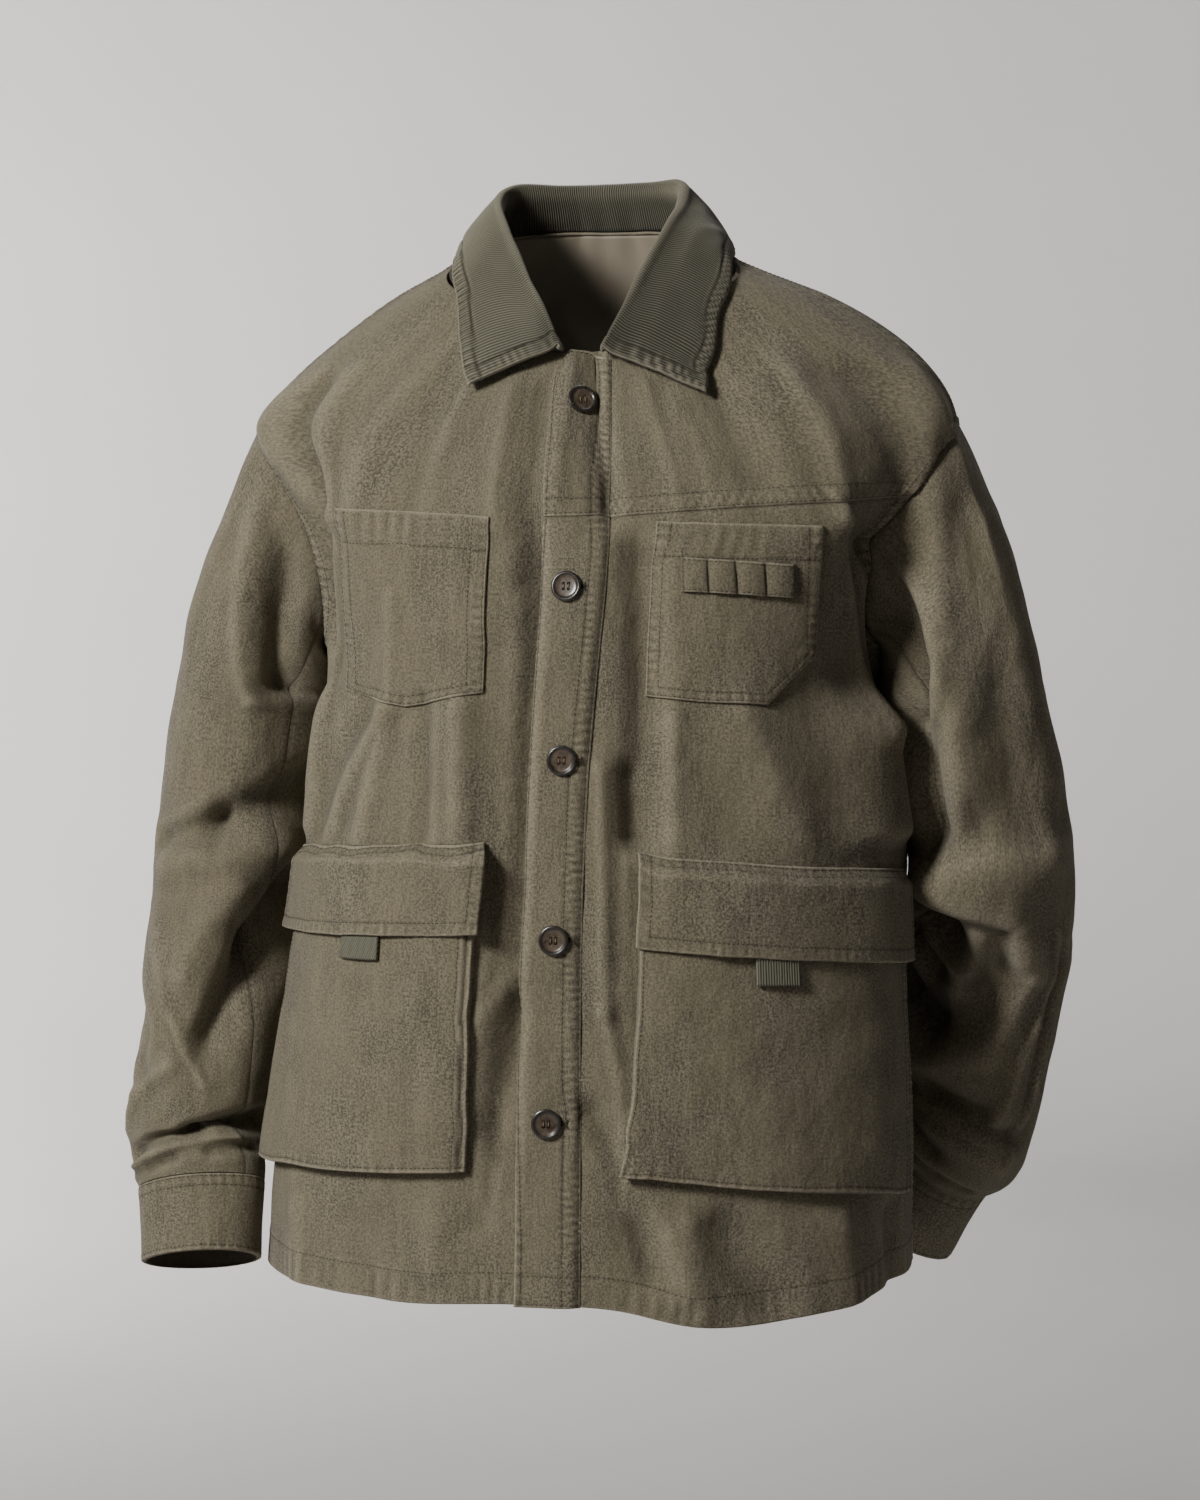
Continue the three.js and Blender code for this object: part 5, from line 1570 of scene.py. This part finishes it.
def buttons():
    profile = [(0, 0), (6.5, 0), (9.2, 0.35), (10.2, 1.0), (10.5, 1.7), (10.3, 2.5), (9.6, 3.0), (8.8, 3.05),
               (8.1, 2.75), (7.6, 2.15), (6.8, 1.85), (5.0, 1.75), (2.5, 1.7), (0, 1.7)]
    disc = mesh_piece("horn_disc", *lathe(profile, 48), HORN)
    spread = BUTTON["spread"] * math.sqrt(0.5)
    holes = [(x, y) for x in (-spread, spread) for y in (-spread, spread)]
    data = cut_holes(disc, holes).data
    base = np.array([v.co for v in data.vertices]) / MM
    faces = [list(p.vertices) for p in data.polygons]
    bpy.data.objects.remove(disc)
    rim = smoothstep(7.3, 8.3, np.hypot(base[:, 0], base[:, 1]))
    threads = [thread_loop((x, -spread), (x, spread)) for x in (-spread, spread)]
    for i, (angle, height) in enumerate(zip(*BUTTONS.values()), 1):
        at = button_frame(angle, height, LAID_GAP + DOUBLED + SEAM_GAP)
        piece = mesh_piece(f"horn_button_{i}", place_points(base, *at), faces, HORN, values={"rim": rim})
        soften(piece)
        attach(piece, "root")
        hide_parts(f"button_{i}")
        points, corners = join_points(threads)
        sewn = mesh_piece(f"button_{i}_thread", place_points(points, *at), corners, BROWN_THREAD)
        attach(sewn, "root")
        buttonhole(i, angle, height)


def soften(piece):
    """Smooth shading that keeps the edges of the holes"""
    piece.data.set_sharp_from_angle(angle=math.radians(40))


def cord_faces(rings, around):
    """Faces of a cord with a number of rings of points"""
    faces = [[k * around + around + t, k * around + around + (t + 1) % around, k * around + (t + 1) % around,
              k * around + t] for k in range(rings - 1) for t in range(around)]
    return faces + [list(range(around)), [rings * around - 1 - t for t in range(around)]]


def thread_loop(a, b):
    """A bundle of thread over the button from one hole to another"""
    a, b = np.array([*a, 0.6]), np.array([*b, 0.6])
    low, high = np.array([0, 0, 1.0]), np.array([0, 0, 1.75])
    path = [a, a + low, mix(a, b, 0.25) + high, mix(a, b, 0.75) + high, b + low, b]
    side = unit(np.cross(b - a, np.array([0, 0, 1.0])))
    points = []
    for k, at in enumerate(path):
        ahead = path[min(k + 1, len(path) - 1)] - path[max(k - 1, 0)]
        up = unit(np.cross(side, ahead)) * 0.4
        for turn in range(6):
            around = 2 * math.pi * turn / 6
            points.append(at + side * 0.34 * math.cos(around) + up * math.sin(around))
    return np.array(points), cord_faces(len(path), 6)


def buttonhole(i, angle, height):
    """A worked buttonhole that shows beside the button, with its bar tack"""
    parts = []
    out = LAID_GAP + DOUBLED + 0.15
    for k in range(20):
        x = mix(-8, 15, k / 19) / MM_PER_DEGREE
        for low, high in ((0.1, 1.5), (-1.5, -0.1)):
            parts.append(short_thread(angle + x, height + low, angle + x + 0.1, height + high, out))
    for k in range(5):
        level = height - 2.4 + 1.2 * k
        start, end = angle + 15.4 / MM_PER_DEGREE, angle + 17 / MM_PER_DEGREE
        parts.append(short_thread(start, level, end, level + 0.2, out))
    points, faces = join_points(parts)
    piece = mesh_piece(f"buttonhole_{i}", points, faces, THREAD)
    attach(piece, "root")


def short_thread(angle, height, to_angle, to_height, out):
    ends = on_body(np.array([angle, to_angle]), np.array([height, to_height]), np.array([out, out]))
    away = body_normal(np.array([angle]), np.array([height]))[0]
    side = unit(np.cross(away, ends[1] - ends[0])) * 0.42
    rise = away * 0.42
    middle = [mix(ends[0], ends[1], t) for t in (0.15, 0.85)]
    points = [ends[0], *[m + d for m in middle for d in (side, rise, -side, -rise)], ends[1]]
    return np.array(points), [list(face) for face in THREAD_FACES]


def neck_cord():
    """The light corded seam between the collar's stand and the facing inside the back neck"""
    angle = np.linspace(92, 268, 120)
    middle = on_body(angle, neck_height(angle) + 0.9, np.full(angle.shape, -CLOTH - 1.8))
    ahead = unit(np.gradient(middle, axis=0))
    side = unit(np.cross(ahead, np.array([0, 0, 1.0])))
    up = np.cross(side, ahead)
    points = []
    for k in range(8):
        around = 2 * math.pi * k / 8
        points.append(middle + side * 1.2 * math.cos(around) + up * 1.2 * math.sin(around))
    points = np.stack(points, 1)
    count = len(angle)
    piece = mesh_piece("neck_seam_cord", points.reshape(-1, 3), cord_faces(count, 8), CORD)
    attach(piece, "root")


# ---- Camera, backdrop and lights ----


def camera():
    data = bpy.data.cameras.new("camera")
    data.lens, data.sensor_width = 100, 36
    view = bpy.data.objects.new("camera", data)
    bpy.context.scene.collection.objects.link(view)
    bpy.context.scene.camera = view
    target, distance = Vector((0.002, 0, -0.375)), 3.0
    azimuth, elevation = math.radians(9), math.radians(3)
    back = Vector((math.sin(azimuth) * math.cos(elevation), -math.cos(azimuth) * math.cos(elevation),
                   math.sin(elevation)))
    view.location = target + back * distance
    view.rotation_euler = (-back).to_track_quat("-Z", "Y").to_euler()


def backdrop():
    """A wide pale bowl: floor, rounded foot and wall in one"""
    finish = Finish("pale backdrop")
    where = finish.node("TexCoord", output="Object")
    cloudy = finish.noise(where, 1.1, 2.0)
    colour = finish.blend(cloudy, (0.36, 0.35, 0.34), (0.42, 0.408, 0.40))
    paper = finish.done(Base_Color=colour, Roughness=0.95, Specular_IOR_Level=0.1)
    floor, radius, foot, top = -1400, 6500, 1800, 5200
    profile = [(0, floor), (2000, floor), (radius - foot, floor)]
    for k in range(1, 13):
        around = math.pi / 2 * k / 12
        profile.append((radius - foot + foot * math.sin(around), floor + foot - foot * math.cos(around)))
    profile.append((radius, top))
    turns = 96
    points = [(0, 0, floor)]
    for r, z in profile[1:]:
        around = [2 * math.pi * k / turns for k in range(turns)]
        points += [(r * math.cos(a), r * math.sin(a), z) for a in around]
    faces = [[0, 1 + k, 1 + (k + 1) % turns] for k in range(turns)]
    for ring in range(len(profile) - 2):
        a, b = 1 + ring * turns, 1 + (ring + 1) * turns
        faces += [[a + k, b + k, b + (k + 1) % turns, a + (k + 1) % turns] for k in range(turns)]
    bowl = mesh_piece("backdrop", np.array(points, float), faces, paper)


def soft_light(name, place, target, size, power, colour=(1, 1, 1)):
    data = bpy.data.lights.new(name, "AREA")
    data.shape, data.size, data.size_y = "RECTANGLE", size[0], size[1]
    data.energy, data.color = power, colour
    light = bpy.data.objects.new(name, data)
    light.location = place
    light.rotation_euler = (Vector(place) - Vector(target)).to_track_quat("Z", "Y").to_euler()
    light.visible_camera = False
    bpy.context.scene.collection.objects.link(light)


def studio():
    world = bpy.data.worlds.new("studio")
    world.use_nodes = True
    world.node_tree.nodes["Background"].inputs["Color"].default_value = (0.95, 0.97, 1.0, 1)
    world.node_tree.nodes["Background"].inputs["Strength"].default_value = 0.015
    bpy.context.scene.world = world
    middle = (0, 0, -0.4)
    soft_light("key", (-1.9, -2.75, 1.25), middle, (0.8, 0.9), 150, (1, 0.985, 0.96))
    soft_light("back fill", (0.2, 3.4, 1.6), middle, (1.6, 1.6), 8)
    soft_light("wall wash", (-4.3, 2.7, 0.0), (-2.8, 5.7, -1.4), (2.0, 2.0), 730)
    soft_light("wall fill", (-1.0, 1.6, 3.6), (-1.3, 5.4, -1.6), (4, 2), 105)


# ---- The jacket ----

camera()
backdrop()
studio()
front_panel("front_right_panel", "front_right", -1, 0, TORSO_ROWS, (0.33, 0.72), 0.228)
front_panel("front_left_yoke_panel", "front_left_yoke", 1, 0, YOKE_ROW, (0.3, 0.2), 0.042)
front_panel("front_left_panel", "front_left_lower", 1, YOKE_ROW, TORSO_ROWS, (0.33, 0.56), 0.16)
back_panel()
back_facing()
neck_cord()
collar()
for arm in ("right", "left"):
    sleeve_piece(f"{arm}_sleeve_top", f"sleeve_{arm}_top", arm, -3, 8, (0.24, 0.6), 0.12)
    sleeve_piece(f"{arm}_sleeve_under", f"sleeve_{arm}_under", arm, 8, 17, (0.2, 0.5), 0.085)
    cuff(f"{arm}_cuff", f"cuff_{arm}", arm)
for side in ("right", "left"):
    chest_pocket(side)
    bellows_pocket(side)
    webbing_tab(side)
    pocket_flap(side)
pen_loops()
placket_strip("upper_placket", "placket_upper", -92.5, YOKE_SEAM + SEAM_GAP / 2, True)
placket_strip("lower_placket", "placket_lower", YOKE_SEAM - SEAM_GAP / 2, -749, False)
buttons()
